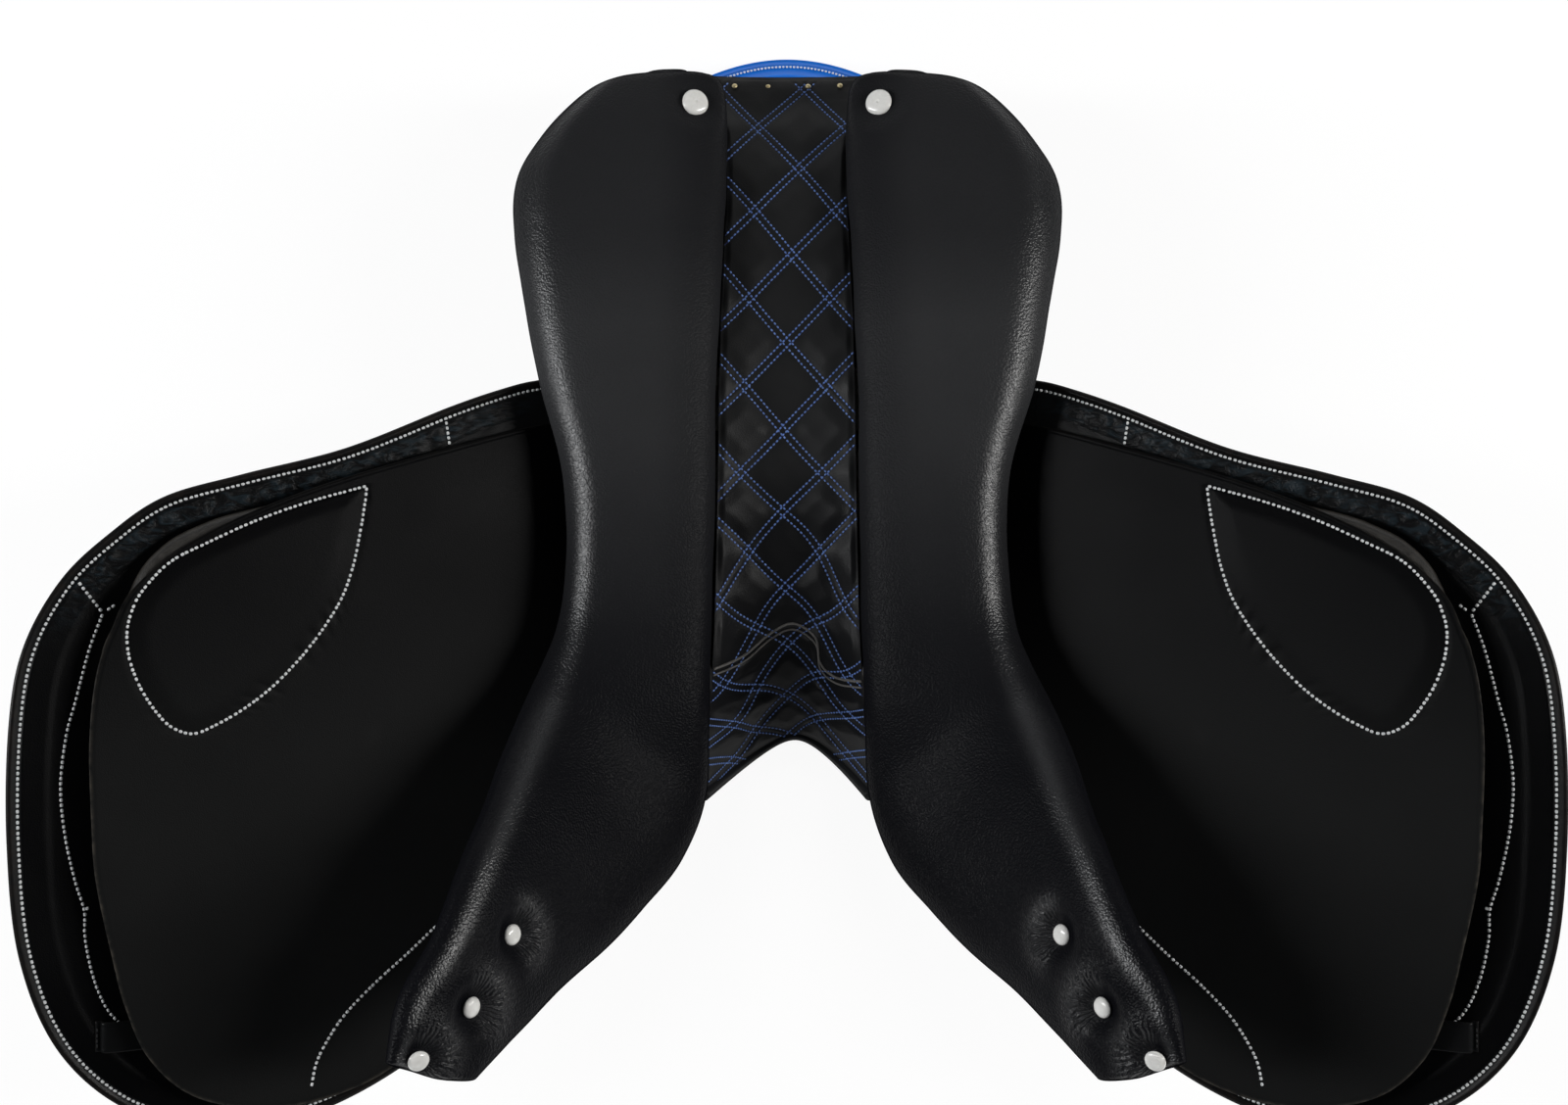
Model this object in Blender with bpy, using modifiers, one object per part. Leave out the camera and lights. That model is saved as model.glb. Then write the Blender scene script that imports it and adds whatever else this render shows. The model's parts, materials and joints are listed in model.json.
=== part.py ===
"""Close contact saddle, lying upside down on its seat, as a set of separate pieces.

Units are metres; tables of stations are written in millimetres and turned into metres by mm().
+Z is up, +Y is the cantle (rear), +X is the saddle's off side.  The floor is Z = 0, and the
saddle rests on the top of its cantle and the top of its pommel with its panels facing up.
The seat surface is one bowed sheet; cover, foam, webbing, tree and gullet plate are layers
stacked on it, each at its own depth, so they follow any change of the seat or of a thickness.
"""
import math

import bmesh
import bpy
from mathutils import Matrix, Vector

MM = 0.001

# Thicknesses of the layers, and the gap that parts them
LAYER_GAP = 0.0003
COVER_THICKNESS = 0.003
FOAM_THICKNESS = 0.0107
WEBBING_THICKNESS = 0.0017
TREE_THICKNESS = 0.0117
GULLET_PLATE_THICKNESS = 0.003
LINING_THICKNESS = 0.0025
FLAP_THICKNESS = 0.0042
SWEAT_FLAP_THICKNESS = 0.0038
SKIRT_THICKNESS = 0.0035

# Flaps: where each starts, how it rises outwards, and the line on which the outer flap bends
FLAP_STEP = 24
FLAP_TOP_STEP = 30
FLAP_START_X = 0.104
FLAP_START_Z = 0.095
FLAP_SLOPE = 0.40
SWEAT_START_X = 0.108
SWEAT_START_Z = 0.103
SWEAT_SLOPE = 0.49
FLAP_BOW = 0.12
BEND_X = 0.180

# Girth billets
BILLET_WIDTH = 0.025
BILLET_THICKNESS = 0.004
BILLET_REACH_X = 0.372
BILLET_SPACING = 0.036
BILLET_FIRST_Y = -0.052
BILLET_RAKE = 0.096
BILLET_START_GAP = 0.004
BILLET_SECTIONS = 9
BILLET_POINT = 0.45

# Stirrup bars, with their hinged catches
LUG_SINK = 0.0025
LUG_END_X = 0.098
LUG_Z = 0.1065
LUG_HEIGHT = 0.011
BAR_FRONT_Y = -0.092
BAR_REAR_Y = -0.018
BAR_PLATE_THICKNESS = 0.004
BAR_PLATE_TOP_Z = 0.112
BAR_BOTTOM_Z = 0.0845
BAR_HEIGHT = 0.010
BAR_SLOT = 0.0105
BAR_THICKNESS = 0.006
BAR_ARM_WIDTH = 0.009
BAR_JOIN = 0.001
BAR_PLATE_TAIL = 0.010
EAR_THICKNESS = 0.0025
EAR_LENGTH = 0.0085
EAR_ABOVE_BLADE = 0.003
EAR_BELOW_BLADE = 0.0005
EAR_ROUND_PIN = 0.004
CATCH_PIN_RADIUS = 0.002
CATCH_PIN_OUT = 0.0042
CATCH_PIN_PROUD = 0.0006
CATCH_EYE_RADIUS = 0.004
CATCH_TONGUE_HALF = 0.0028
RIVET_RADIUS = 0.003
RIVET_HEAD_GAP = 0.0004
RIVET_DEPTH = 0.012
RIVET_FRONT = 0.018
RIVET_REAR = 0.016
RIVET_HEAD = [(0.0, 0.0016), (1.1, 0.0012), (1.5, 0.0), (1.0, 0.0)]
FIT_GAP = 0.0003
CUT_PAST = 0.005

# The strap loop on each outer flap
KEEPER_X = 0.383
KEEPER_Y = -0.280
KEEPER_HALF_LENGTH = 0.017
KEEPER_HALF_WIDTH = 0.009
KEEPER_LIFT = 0.006
KEEPER_THICKNESS = 0.002
KEEPER_PROFILE = [(-1.0, 0.0), (-0.8, 0.0), (-0.55, 1.0), (0.55, 1.0), (0.8, 0.0), (1.0, 0.0)]

# Studs, with the place and direction of each on the off side, and nails
REAR_STUD = ((58, 284, 124), (-0.35, 0.1, 1.0))
LEG_STUDS = [
    ((154, -214, 263), (-0.78, 0.02, 0.62)),
    ((173, -249, 287), (-0.79, -0.10, 0.60)),
    ((197.3, -272, 310.5), (-0.45, -0.30, 0.84)),
]
REAR_STUD_RADIUS = 0.0085
LEG_STUD_RADIUS = 0.006
STUD_DOME = 0.0035
STUD_SHANK_RADIUS = 0.0025
STUD_SHANK_LENGTH = 0.008
STUD_HEAD_CLEAR = 0.02
NAIL_RADIUS = 0.0018
NAIL_DOME = 0.0014
NAIL_SHOULDER = 0.0010
NAIL_LIFT = 0.0008
NAIL_LINE = 0.965
NAIL_PLACES = (-0.64, -0.15, 0.48, 0.78)

# The seat: Y, half width, how far its ends sweep forward, height on the centre line and at the
# edge, and how flat its middle is
SEAT_ROWS = [
    (-119, 52, 36, 57, 112, 2.0),
    (-124, 56, 33, 40, 104, 2.0),
    (-127, 60, 28, 20, 92, 2.1),
    (-125, 64, 22, 5.5, 84, 2.2),
    (-116, 67, 15, -0.5, 80, 2.3),
    (-103, 70, 9, 0.5, 80, 2.2),
    (-85, 74, 5, 14, 85, 2.0),
    (-60, 80, 3, 35, 92, 1.9),
    (-30, 86, 1, 51, 97, 1.9),
    (0, 92, 0, 62, 100, 1.9),
    (40, 106, 0, 73, 101, 1.9),
    (80, 120, 5, 78, 100, 2.0),
    (120, 136, 12, 79, 96, 2.0),
    (160, 148, 22, 76, 90, 2.1),
    (200, 155, 32, 68, 82, 2.2),
    (240, 157, 45, 55, 73, 2.4),
    (275, 155, 58, 36, 65, 2.6),
    (305, 151, 70, 15, 59, 2.9),
    (322, 148, 77, 3.5, 57, 3.2),
    (331, 145, 81, 0.2, 56, 3.4),
    (338, 143, 84, -0.5, 55, 3.5),
]
HALF_COLUMNS = [0.14, 0.28, 0.42, 0.55, 0.67, 0.78, 0.86, 0.93, 1.0]
LAST_COLUMN_GAP = 0.02
HEAD_ROW = 5
PLATE_LAST_ROW = 7
FOAM_REACH = 0.86
TREE_REACH = 0.93
RAIL_INNER = 0.55
WEBBING_REACH = 0.55
CANTLE_REST = (0.332, 0.06, 0.03)
POMMEL_REST = (-0.114, 0.03, 0.03)
REST_CUT_DEPTH = 0.01

# The bound rear face of the cantle: how far round it goes, and its section, outwards and up
CANTLE_FACE_HALF = 0.62
CANTLE_FACE_SECTIONS = 15
CANTLE_FACE_PROFILE = [(0.5, 2.5), (3.2, 4), (4.0, 14), (3.6, 30), (-8, 44.5), (-19.5, 56),
                       (-21.5, 53.5), (-10.5, 42), (0.5, 29), (1.0, 14)]

# The panels: inner edge and outer edge of each station (x, y, z), crown above, and the most that
# its belly hangs below; where the tree is nearer, the belly rests on the tree
PANEL_STATIONS = [
    ((64, 307, 105), (90, 306, 106), 7, 14),
    ((50, 304, 105), (112, 301, 107), 12, 26),
    ((41, 297, 106), (131, 290, 110), 17, 36),
    ((38, 272, 110), (153, 266, 117), 22, 44),
    ((38, 234, 120), (170, 234, 126), 22, 44),
    ((40, 199, 127), (171, 199, 134), 24, 40),
    ((42, 152, 135), (163, 152, 142), 23, 36),
    ((44, 104, 138), (153, 104, 148), 22, 30),
    ((45, 47, 139), (138, 47, 150), 23, 30),
    ((46, 0, 140), (136, 0, 151), 23, 30),
    ((47, -48, 141), (141, -42, 155), 24, 30),
    ((49, -98, 142), (148, -66, 166), 24, 30),
    ((53, -150, 136), (156, -88, 182), 23, 22),
    ((68, -192, 152), (162, -104, 202), 20, 19),
    ((90, -216, 178), (168, -124, 226), 17, 18),
    ((112, -233, 202), (174, -145, 248), 15, 17),
    ((131, -243, 222), (180, -166, 270), 14, 16),
    ((151, -254, 245), (191, -205, 296), 13, 15),
    ((166, -265, 265), (206, -238, 312), 12, 13),
    ((182, -281, 290), (212, -270, 317), 9, 9),
]
PANEL_WALL_STATIONS = 13
PANEL_EDGE_ROUND = 0.62
PANEL_CROWN_ROUND = 0.72
PANEL_BELLY_ROUND = 0.8
PANEL_SEAT_GAP = 0.0006
PANEL_RING = 20

# The channel lining: Y, sweep of its ends, height on the centre line and at its edges
LINING_ROWS = [
    (-123, 37, 65, 129),
    (-106, 20, 77, 130),
    (-84, 8, 92, 132),
    (-50, 2, 108, 133),
    (0, 0, 119, 134),
    (60, 0, 124, 134),
    (120, 0, 124, 131),
    (180, 0, 119, 122),
    (225, 0, 109, 111),
    (262, 0, 93, 95),
    (292, 0, 73, 77),
    (316, 0, 58.6, 66),
]
LINING_CURVE = 2.2
LINING_COLUMNS = 10
LINING_LINES = 17
LINING_SIDE_GAP = 0.0022
LINING_MIDDLE = 0.0015

# Outlines of the flaps and blocks on the off side (x, y), starting at the rear inner corner
OUTER_FLAP = [
    (180, 103), (210, 91), (269, 64), (325, 47), (366, 33), (394, 11), (418, -16), (436, -54),
    (443, -98), (444, -165), (438, -232), (419, -287), (385, -325), (340, -342), (290, -341),
    (235, -316), (180, -270),
]
OUTER_FLAP_CENTRE = (305, -130)
FLAP_TOP = [
    (113, 50), (124, 82), (141, 110), (160, 109), (180, 103), (180, -270), (148, -240), (128, -208),
    (122, -168), (122, 4),
]
FLAP_TOP_CENTRE = (142, -50)
SWEAT_FLAP = [
    (108, 30), (109, 46), (115, 62), (123, 80), (149, 82), (207, 65), (284, 38), (339, 10),
    (372, -19), (384, -45), (391, -71), (394, -108), (393, -154), (391, -186), (384, -226),
    (377, -259), (365, -291), (342, -316), (306, -328), (268, -325), (232, -308), (185, -266),
    (125, -204), (108, -178),
]
SWEAT_FLAP_CENTRE = (250, -120)
THIGH_BLOCK = [
    (236, 43), (290, 29), (345, 4), (378, -22), (394, -52), (393, -84), (375, -104), (346, -110),
    (314, -97), (284, -66), (258, -30), (240, 8),
]
THIGH_BLOCK_CENTRE = (322, -40)
KNEE_BLOCK = [
    (212, -226), (240, -243), (268, -268), (290, -300), (282, -318), (252, -305), (218, -276),
    (203, -246),
]
KNEE_BLOCK_CENTRE = (250, -270)
BLOCK_STEP = 16
BLOCK_GAP = 0.0002
BLOCK_EDGE = 0.45
SKIRT = [
    (68, -131), (72, -113), (76, -85), (82, -52), (87, -26), (92.8, -1), (101, 17), (112, 28),
    (127, 32), (144, 27), (160, 6), (172, -34), (174, -76), (162, -112), (138, -134), (110, -142),
    (86, -138),
]
SKIRT_CENTRE = (125, -45)
SKIRT_STEP = 14
SKIRT_BELOW_EDGE = 0.001
SKIRT_FLOOR_Z = 0.0770
SKIRT_RISE = 7.8
SKIRT_RISE_FROM_X = 0.112
SKIRT_SETTLE = 0.0045
SEAT_SIDE_GAP = 0.0006


def mm(*values):
    """Turn millimetres into a vector in metres."""
    return Vector([value * MM for value in values])


def spline(rows, t):
    """Read a smooth curve through rows of numbers at t, from 0 to 1."""
    last = len(rows) - 1
    place = min(max(t, 0.0), 1.0) * last
    index = min(int(place), last - 1)
    f = place - index
    p1, p2 = rows[index], rows[index + 1]
    p0 = rows[index - 1] if index else tuple(2 * a - b for a, b in zip(p1, p2))
    p3 = rows[index + 2] if index + 2 <= last else tuple(2 * b - a for a, b in zip(p1, p2))
    return [
        0.5 * (2 * b + (c - a) * f + (2 * a - 5 * b + 4 * c - d) * f * f + (3 * b - a - 3 * c + d) * f ** 3)
        for a, b, c, d in zip(p0, p1, p2, p3)
    ]


def row_at(rows, y):
    """Read a table of rows that starts with Y at one Y, by straight runs."""
    ordered = sorted(rows)
    if y <= ordered[0][0]:
        return ordered[0]
    for low, high in zip(ordered, ordered[1:]):
        if y <= high[0]:
            f = (y - low[0]) / (high[0] - low[0])
            return tuple(a + (b - a) * f for a, b in zip(low, high))
    return ordered[-1]


def smooth_outline(points, step):
    """Round an outline of points in millimetres with a closed curve, a point about every step."""
    result = []
    count = len(points)
    for index in range(count):
        p0, p1, p2, p3 = (Vector(points[(index + k) % count]) for k in (-1, 0, 1, 2))
        pieces = max(1, round((p2 - p1).length / step))
        for k in range(pieces):
            f = k / pieces
            point = 0.5 * (2 * p1 + (p2 - p0) * f + (2 * p0 - 5 * p1 + 4 * p2 - p3) * f * f
                           + (3 * p1 - p0 - 3 * p2 + p3) * f ** 3)
            result.append(point * MM)
    return result


def material(name, colour, roughness, metallic=0.0):
    """A plain Principled material."""
    made = bpy.data.materials.get(name)
    if made:
        return made
    made = bpy.data.materials.new(name)
    made.use_nodes = True
    shader = made.node_tree.nodes["Principled BSDF"]
    shader.inputs["Base Color"].default_value = (*colour, 1.0)
    shader.inputs["Roughness"].default_value = roughness
    shader.inputs["Metallic"].default_value = metallic
    return made


def panel_leather():
    return material("panel_leather", (0.014, 0.015, 0.017), 0.46)


def flap_leather():
    return material("flap_leather", (0.009, 0.009, 0.010), 0.38)


def seat_leather():
    return material("seat_leather", (0.012, 0.012, 0.013), 0.42)


def strap_leather():
    return material("strap_leather", (0.010, 0.009, 0.009), 0.5)


def blue_leather():
    return material("blue_leather", (0.010, 0.10, 0.62), 0.45)


def latex_foam():
    return material("latex_foam", (0.62, 0.55, 0.36), 0.85)


def nylon_web():
    return material("nylon_web", (0.75, 0.74, 0.68), 0.8)


def laminated_wood():
    return material("laminated_wood", (0.42, 0.27, 0.14), 0.55)


def steel():
    return material("steel", (0.55, 0.56, 0.57), 0.32, 1.0)


def brass():
    return material("brass", (0.72, 0.52, 0.20), 0.3, 1.0)


def pearl_nickel():
    return material("pearl_nickel", (0.72, 0.70, 0.63), 0.35, 0.6)


def collection(name):
    made = bpy.data.collections.get(name)
    if not made:
        made = bpy.data.collections.new(name)
        bpy.context.scene.collection.children.link(made)
    return made


def add_object(name, mesh, finish, smooth=True):
    """Put a mesh in the saddle's collection as one named piece."""
    made = bpy.data.objects.new(name, mesh)
    collection("close_contact_saddle").objects.link(made)
    mesh.materials.append(finish)
    if smooth:
        mesh.shade_smooth()
        mesh.set_sharp_from_angle(angle=math.radians(40))
    return made


def mesh_of(name, points, faces):
    """A mesh from points and faces, with its faces turned outwards."""
    bm = bmesh.new()
    verts = [bm.verts.new(point) for point in points]
    for face in faces:
        bm.faces.new([verts[index] for index in face])
    bmesh.ops.recalc_face_normals(bm, faces=bm.faces)
    mesh = bpy.data.meshes.new(name)
    bm.to_mesh(mesh)
    bm.free()
    return mesh


def layered(name, lower, upper, keep=None):
    """A closed sheet between two grids of points; keep(i, j) says which cells it has."""
    rows, columns = len(lower), len(lower[0])
    cells = {(i, j) for i in range(rows - 1) for j in range(columns - 1) if keep is None or keep(i, j)}
    numbers, points, faces = {}, [], []

    def vert(level, i, j):
        key = (level, i, j)
        if key not in numbers:
            numbers[key] = len(points)
            points.append((lower, upper)[level][i][j])
        return numbers[key]

    for i, j in sorted(cells):
        corners = [(i, j), (i, j + 1), (i + 1, j + 1), (i + 1, j)]
        for half in ((0, 1, 2), (0, 2, 3)):
            faces.append([vert(0, *corners[k]) for k in half])
            faces.append([vert(1, *corners[k]) for k in reversed(half)])
        neighbours = [(i - 1, j), (i, j + 1), (i + 1, j), (i, j - 1)]
        for k, neighbour in enumerate(neighbours):
            if neighbour not in cells:
                a, b = corners[k], corners[(k + 1) % 4]
                faces.append([vert(0, *b), vert(0, *a), vert(1, *a), vert(1, *b)])
    return mesh_of(name, points, faces)


def loft(name, rings):
    """A closed body through rings of as many points each, closed by a face at both ends."""
    count = len(rings[0])
    points = [point for ring in rings for point in ring]
    faces = [list(range(count)), list(range(len(points) - count, len(points)))]
    for i in range(len(rings) - 1):
        for j in range(count):
            k = (j + 1) % count
            faces.append([i * count + j, i * count + k, (i + 1) * count + k, (i + 1) * count + j])
    return mesh_of(name, points, faces)


def bowed(name, outline, centre, low, high, steps=(0.35, 0.7, 1.0)):
    """A closed sheet inside an outline, between two heights that are functions of x and y."""
    count = len(outline)
    points, faces = [], []
    for height in (low, high):
        points.append(Vector((centre.x, centre.y, height(centre.x, centre.y))))
        for step in steps:
            for point in outline:
                x, y = centre.lerp(point, step)
                points.append(Vector((x, y, height(x, y))))
    level = 1 + len(steps) * count
    for base in (0, level):
        for j in range(count):
            k = (j + 1) % count
            faces.append([base, base + 1 + j, base + 1 + k])
            for ring in range(len(steps) - 1):
                a = base + 1 + ring * count
                faces.append([a + j, a + count + j, a + count + k, a + k])
    rim = 1 + (len(steps) - 1) * count
    for j in range(count):
        k = (j + 1) % count
        faces.append([rim + j, level + rim + j, level + rim + k, rim + k])
    return mesh_of(name, points, faces)


def box(name, low, high, finish):
    """A box between two corners."""
    bm = bmesh.new()
    bmesh.ops.create_cube(bm, size=1.0)
    size = Vector(high) - Vector(low)
    bmesh.ops.transform(bm, verts=bm.verts, matrix=Matrix.Diagonal((*[abs(s) for s in size], 1.0)))
    mesh = bpy.data.meshes.new(name)
    bm.to_mesh(mesh)
    bm.free()
    made = add_object(name, mesh, finish, smooth=False)
    made.location = (Vector(low) + Vector(high)) / 2
    return made


def cylinder(name, radius, start, end, finish, segments=20):
    """A cylinder between two points."""
    start, end = Vector(start), Vector(end)
    bm = bmesh.new()
    bmesh.ops.create_cone(bm, cap_ends=True, segments=segments, radius1=radius, radius2=radius,
                          depth=(end - start).length)
    mesh = bpy.data.meshes.new(name)
    bm.to_mesh(mesh)
    bm.free()
    made = add_object(name, mesh, finish)
    made.location = (start + end) / 2
    made.rotation_mode = "QUATERNION"
    made.rotation_quaternion = (end - start).to_track_quat("Z", "Y")
    return made


def combine(target, tool, operation):
    """Cut a tool out of a piece, or join it on, with an exact Boolean that stays on the piece."""
    for holder in list(tool.users_collection):
        holder.objects.unlink(tool)
    collection("cutters").objects.link(tool)
    tool.hide_render = True
    tool.display_type = "WIRE"
    modifier = target.modifiers.new(operation.lower() + "_" + tool.name, "BOOLEAN")
    modifier.operation = operation
    modifier.solver = "EXACT"
    modifier.object = tool


def turned(name, profile, place, axis, finish, segments=20):
    """A turned piece: its profile runs down the outer side from the top, about the local Z axis."""
    mesh = bpy.data.meshes.new(name)
    mesh.from_pydata([(radius, 0.0, height) for radius, height in profile],
                     [(k, k + 1) for k in range(len(profile) - 1)], [])
    made = add_object(name, mesh, finish)
    made.location = place
    made.rotation_mode = "QUATERNION"
    made.rotation_quaternion = Vector(axis).to_track_quat("Z", "Y")
    screw = made.modifiers.new("turn", "SCREW")
    screw.steps = segments
    screw.render_steps = segments
    screw.use_merge_vertices = True
    screw.merge_threshold = 0.00005
    return made


def side_name(side):
    return "right" if side > 0 else "left"


def mirrored(points, side):
    return [Vector((side * p[0], *p[1:])) for p in points]


def seat_surface(u, row):
    """A point of the seat's outer surface: u from -1 to 1 across, row counted from the front."""
    y, half_width, sweep, centre, edge, flatness = spline(SEAT_ROWS, row / (len(SEAT_ROWS) - 1))
    rise = centre + (edge - centre) * abs(u) ** flatness
    return mm(half_width * u, y - sweep * u * u, rise)


def seat_point(u, row, depth):
    """A point at a depth under the seat's surface, measured square to it."""
    last = len(SEAT_ROWS) - 1
    across = seat_surface(u + 0.002, row) - seat_surface(u - 0.002, row)
    ahead = seat_surface(u, min(row + 0.02, last)) - seat_surface(u, max(row - 0.02, 0))
    return seat_surface(u, row) + across.cross(ahead).normalized() * depth


def depths():
    """Start and end depth of each layer under the seat's surface."""
    result, depth = {}, 0.0
    layers = [("cover", COVER_THICKNESS), ("foam", FOAM_THICKNESS), ("webbing", WEBBING_THICKNESS),
              ("tree", TREE_THICKNESS), ("plate", GULLET_PLATE_THICKNESS)]
    for name, thickness in layers:
        result[name] = (depth, depth + thickness)
        depth += thickness + LAYER_GAP
    return result


def seat_layer(name, layer, finish, first_row, last_row, reach, keep=None):
    """A layer of the seat between two rows; keep(row, u) says which of its cells it has."""
    half = [u for u in HALF_COLUMNS if u < reach - LAST_COLUMN_GAP] + [reach]
    columns = [-u for u in reversed(half)] + [0.0] + half
    grids = [[[seat_point(u, row, depth) for u in columns] for row in range(first_row, last_row + 1)]
             for depth in depths()[layer]]

    def has_cell(i, j):
        return keep is None or keep(first_row + i, abs(columns[j] + columns[j + 1]) / 2)

    return add_object(name, layered(name, *grids, has_cell), finish)


def make_seat():
    """Cover, foam, webbing, tree and gullet plate, each a layer on the seat's surface."""
    last = len(SEAT_ROWS) - 1
    cover = seat_layer("seat_cover", "cover", seat_leather(), 0, last, 1.0)
    cut_rest_faces(cover)
    seat_layer("seat_foam", "foam", latex_foam(), HEAD_ROW, last - 1, FOAM_REACH)
    seat_layer("seat_webbing", "webbing", nylon_web(), HEAD_ROW + 1, last - 4, WEBBING_REACH,
               lambda row, u: not 0.28 < u < 0.42 or row % 4 == 3 or row in (HEAD_ROW + 1, last - 5))
    tree = seat_layer("tree", "tree", laminated_wood(), HEAD_ROW, last - 3, TREE_REACH,
                      lambda row, u: row < HEAD_ROW + 4 or row > last - 7 or u > RAIL_INNER)
    for side in (-1, 1):
        half = LUG_HEIGHT / 2
        lug = box("tree_lug_" + side_name(side), (side * lug_start_x(), BAR_FRONT_Y, LUG_Z - half),
                  (side * LUG_END_X, BAR_REAR_Y, LUG_Z + half), laminated_wood())
        combine(tree, lug, "UNION")
    seat_layer("gullet_plate", "plate", steel(), HEAD_ROW, PLATE_LAST_ROW, FOAM_REACH)
    return tree


def lug_start_x():
    """The lugs start a little inside the tree's edge, at the front of the bar."""
    return seat_edge_x(BAR_FRONT_Y) * TREE_REACH - LUG_SINK


def cut_rest_faces(cover):
    """Press the seat's two lowest places flat, where they rest on the floor."""
    for name, (y, half_x, half_y) in (("cantle_rest_cut", CANTLE_REST), ("pommel_rest_cut", POMMEL_REST)):
        tool = box(name, (-half_x, y - half_y, -REST_CUT_DEPTH), (half_x, y + half_y, 0.0), steel())
        combine(cover, tool, "DIFFERENCE")


def rim_frame(u):
    """The cantle's rim at u, with the level direction that points outwards from it."""
    last = len(SEAT_ROWS) - 1
    rim = seat_surface(u, last)
    along = seat_surface(u + 0.01, last) - seat_surface(u - 0.01, last)
    outward = Vector((-along.y, along.x, 0.0)).normalized()
    return rim, outward


def make_cantle_binding():
    """The bound rear face of the cantle, swept along its rim."""
    rings = []
    for k in range(CANTLE_FACE_SECTIONS):
        u = CANTLE_FACE_HALF * (2 * k / (CANTLE_FACE_SECTIONS - 1) - 1)
        rim, outward = rim_frame(u)
        rings.append([rim + outward * (o * MM) + Vector((0, 0, z * MM)) for o, z in CANTLE_FACE_PROFILE])
    return add_object("cantle_binding", loft("cantle_binding", rings), blue_leather())


def carrier_points():
    """Points on top of what lies under the panels: the tree, its lugs and the cantle's face."""
    last = len(SEAT_ROWS) - 4
    depth = depths()["tree"][1]
    points = []
    for row in range(HEAD_ROW * 4, last * 4 + 1):
        points += [seat_point(TREE_REACH * k / 30, row / 4, depth) for k in range(31)]
    lug_top = max(BAR_PLATE_TOP_Z, LUG_Z + LUG_HEIGHT / 2)
    lug_width = LUG_END_X + FIT_GAP + BAR_PLATE_THICKNESS - lug_start_x()
    lug_length = BAR_REAR_Y + FIT_GAP + BAR_PLATE_TAIL - BAR_FRONT_Y
    for k in range(11):
        for n in range(16):
            x, y = lug_start_x() + lug_width * k / 10, BAR_FRONT_Y + lug_length * n / 15
            points.append(Vector((x, y, lug_top)))
    for k in range(21):
        rim, outward = rim_frame(CANTLE_FACE_HALF * k / 20)
        for o, z in CANTLE_FACE_PROFILE[3:6]:
            points.append(rim + outward * (o * MM) + Vector((0, 0, z * MM)))
    return points


def panel_belly(index, carriers):
    """How far the belly of one station hangs: as far as it may, or until it rests on the tree."""
    inner, outer, _, belly = PANEL_STATIONS[index]
    inner, outer = mm(*inner), mm(*outer)
    middle, half = (inner.x + outer.x) / 2, (outer.x - inner.x) / 2
    result = belly * MM
    for point in carriers:
        along = (point.x - middle) / half
        f = (along + 1) / 2
        if abs(along) > 0.97 or abs(point.y - (inner.y + (outer.y - inner.y) * f)) > 0.012:
            continue
        depth = (1 - abs(along) ** (2 / PANEL_EDGE_ROUND)) ** (PANEL_BELLY_ROUND / 2)
        base = inner.z + (outer.z - inner.z) * f
        result = min(result, (base - point.z - PANEL_SEAT_GAP) / depth)
    return result


def panel_bellies():
    carriers = carrier_points()
    return [panel_belly(index, carriers) for index in range(len(PANEL_STATIONS))]


def panel_wall_x(y, z, bellies):
    """Where the panel's inner wall is at one Y and height under its inner edge."""
    rows = [(station[0][1] * MM, station[0][0] * MM, station[0][2] * MM, station[1][0] * MM, belly)
            for station, belly in zip(PANEL_STATIONS[:PANEL_WALL_STATIONS], bellies)]
    _, inner_x, inner_z, outer_x, belly = row_at(rows, y)
    drop = min(max((inner_z - z) / belly, 0.0), 0.95)
    along = (1 - drop ** (2 / PANEL_BELLY_ROUND)) ** (PANEL_EDGE_ROUND / 2)
    return (inner_x + outer_x) / 2 - along * (outer_x - inner_x) / 2


def panel_ring(index, side, bellies):
    """One closed ring of a panel: a full section between its inner and outer edges."""
    stations = PANEL_STATIONS
    inner, outer, crown, _ = stations[index]
    inner, outer = mm(*inner), mm(*outer)
    before, after = stations[max(index - 1, 0)], stations[min(index + 1, len(stations) - 1)]
    path = (mm(*after[0]) + mm(*after[1]) - mm(*before[0]) - mm(*before[1])).normalized()
    width = outer - inner
    normal = width.cross(path).normalized()
    if normal.z < 0:
        normal = -normal
    centre = (inner + outer) / 2
    ring = []
    for k in range(PANEL_RING):
        angle = 2 * math.pi * k / PANEL_RING
        c, s = math.cos(angle), math.sin(angle)
        along = math.copysign(abs(c) ** PANEL_EDGE_ROUND, c)
        if s > 0:
            height = crown * MM * s ** PANEL_CROWN_ROUND
        else:
            height = -bellies[index] * abs(s) ** PANEL_BELLY_ROUND
        ring.append(centre + width * (along / 2) + normal * height)
    return mirrored(ring, side)


def make_panel(side, bellies):
    """One stuffed panel, from its rear lobe to the tip of its front leg."""
    name = side_name(side) + "_panel"
    rings = [panel_ring(k, side, bellies) for k in range(len(PANEL_STATIONS))]
    return add_object(name, loft(name, rings), panel_leather())


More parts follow.
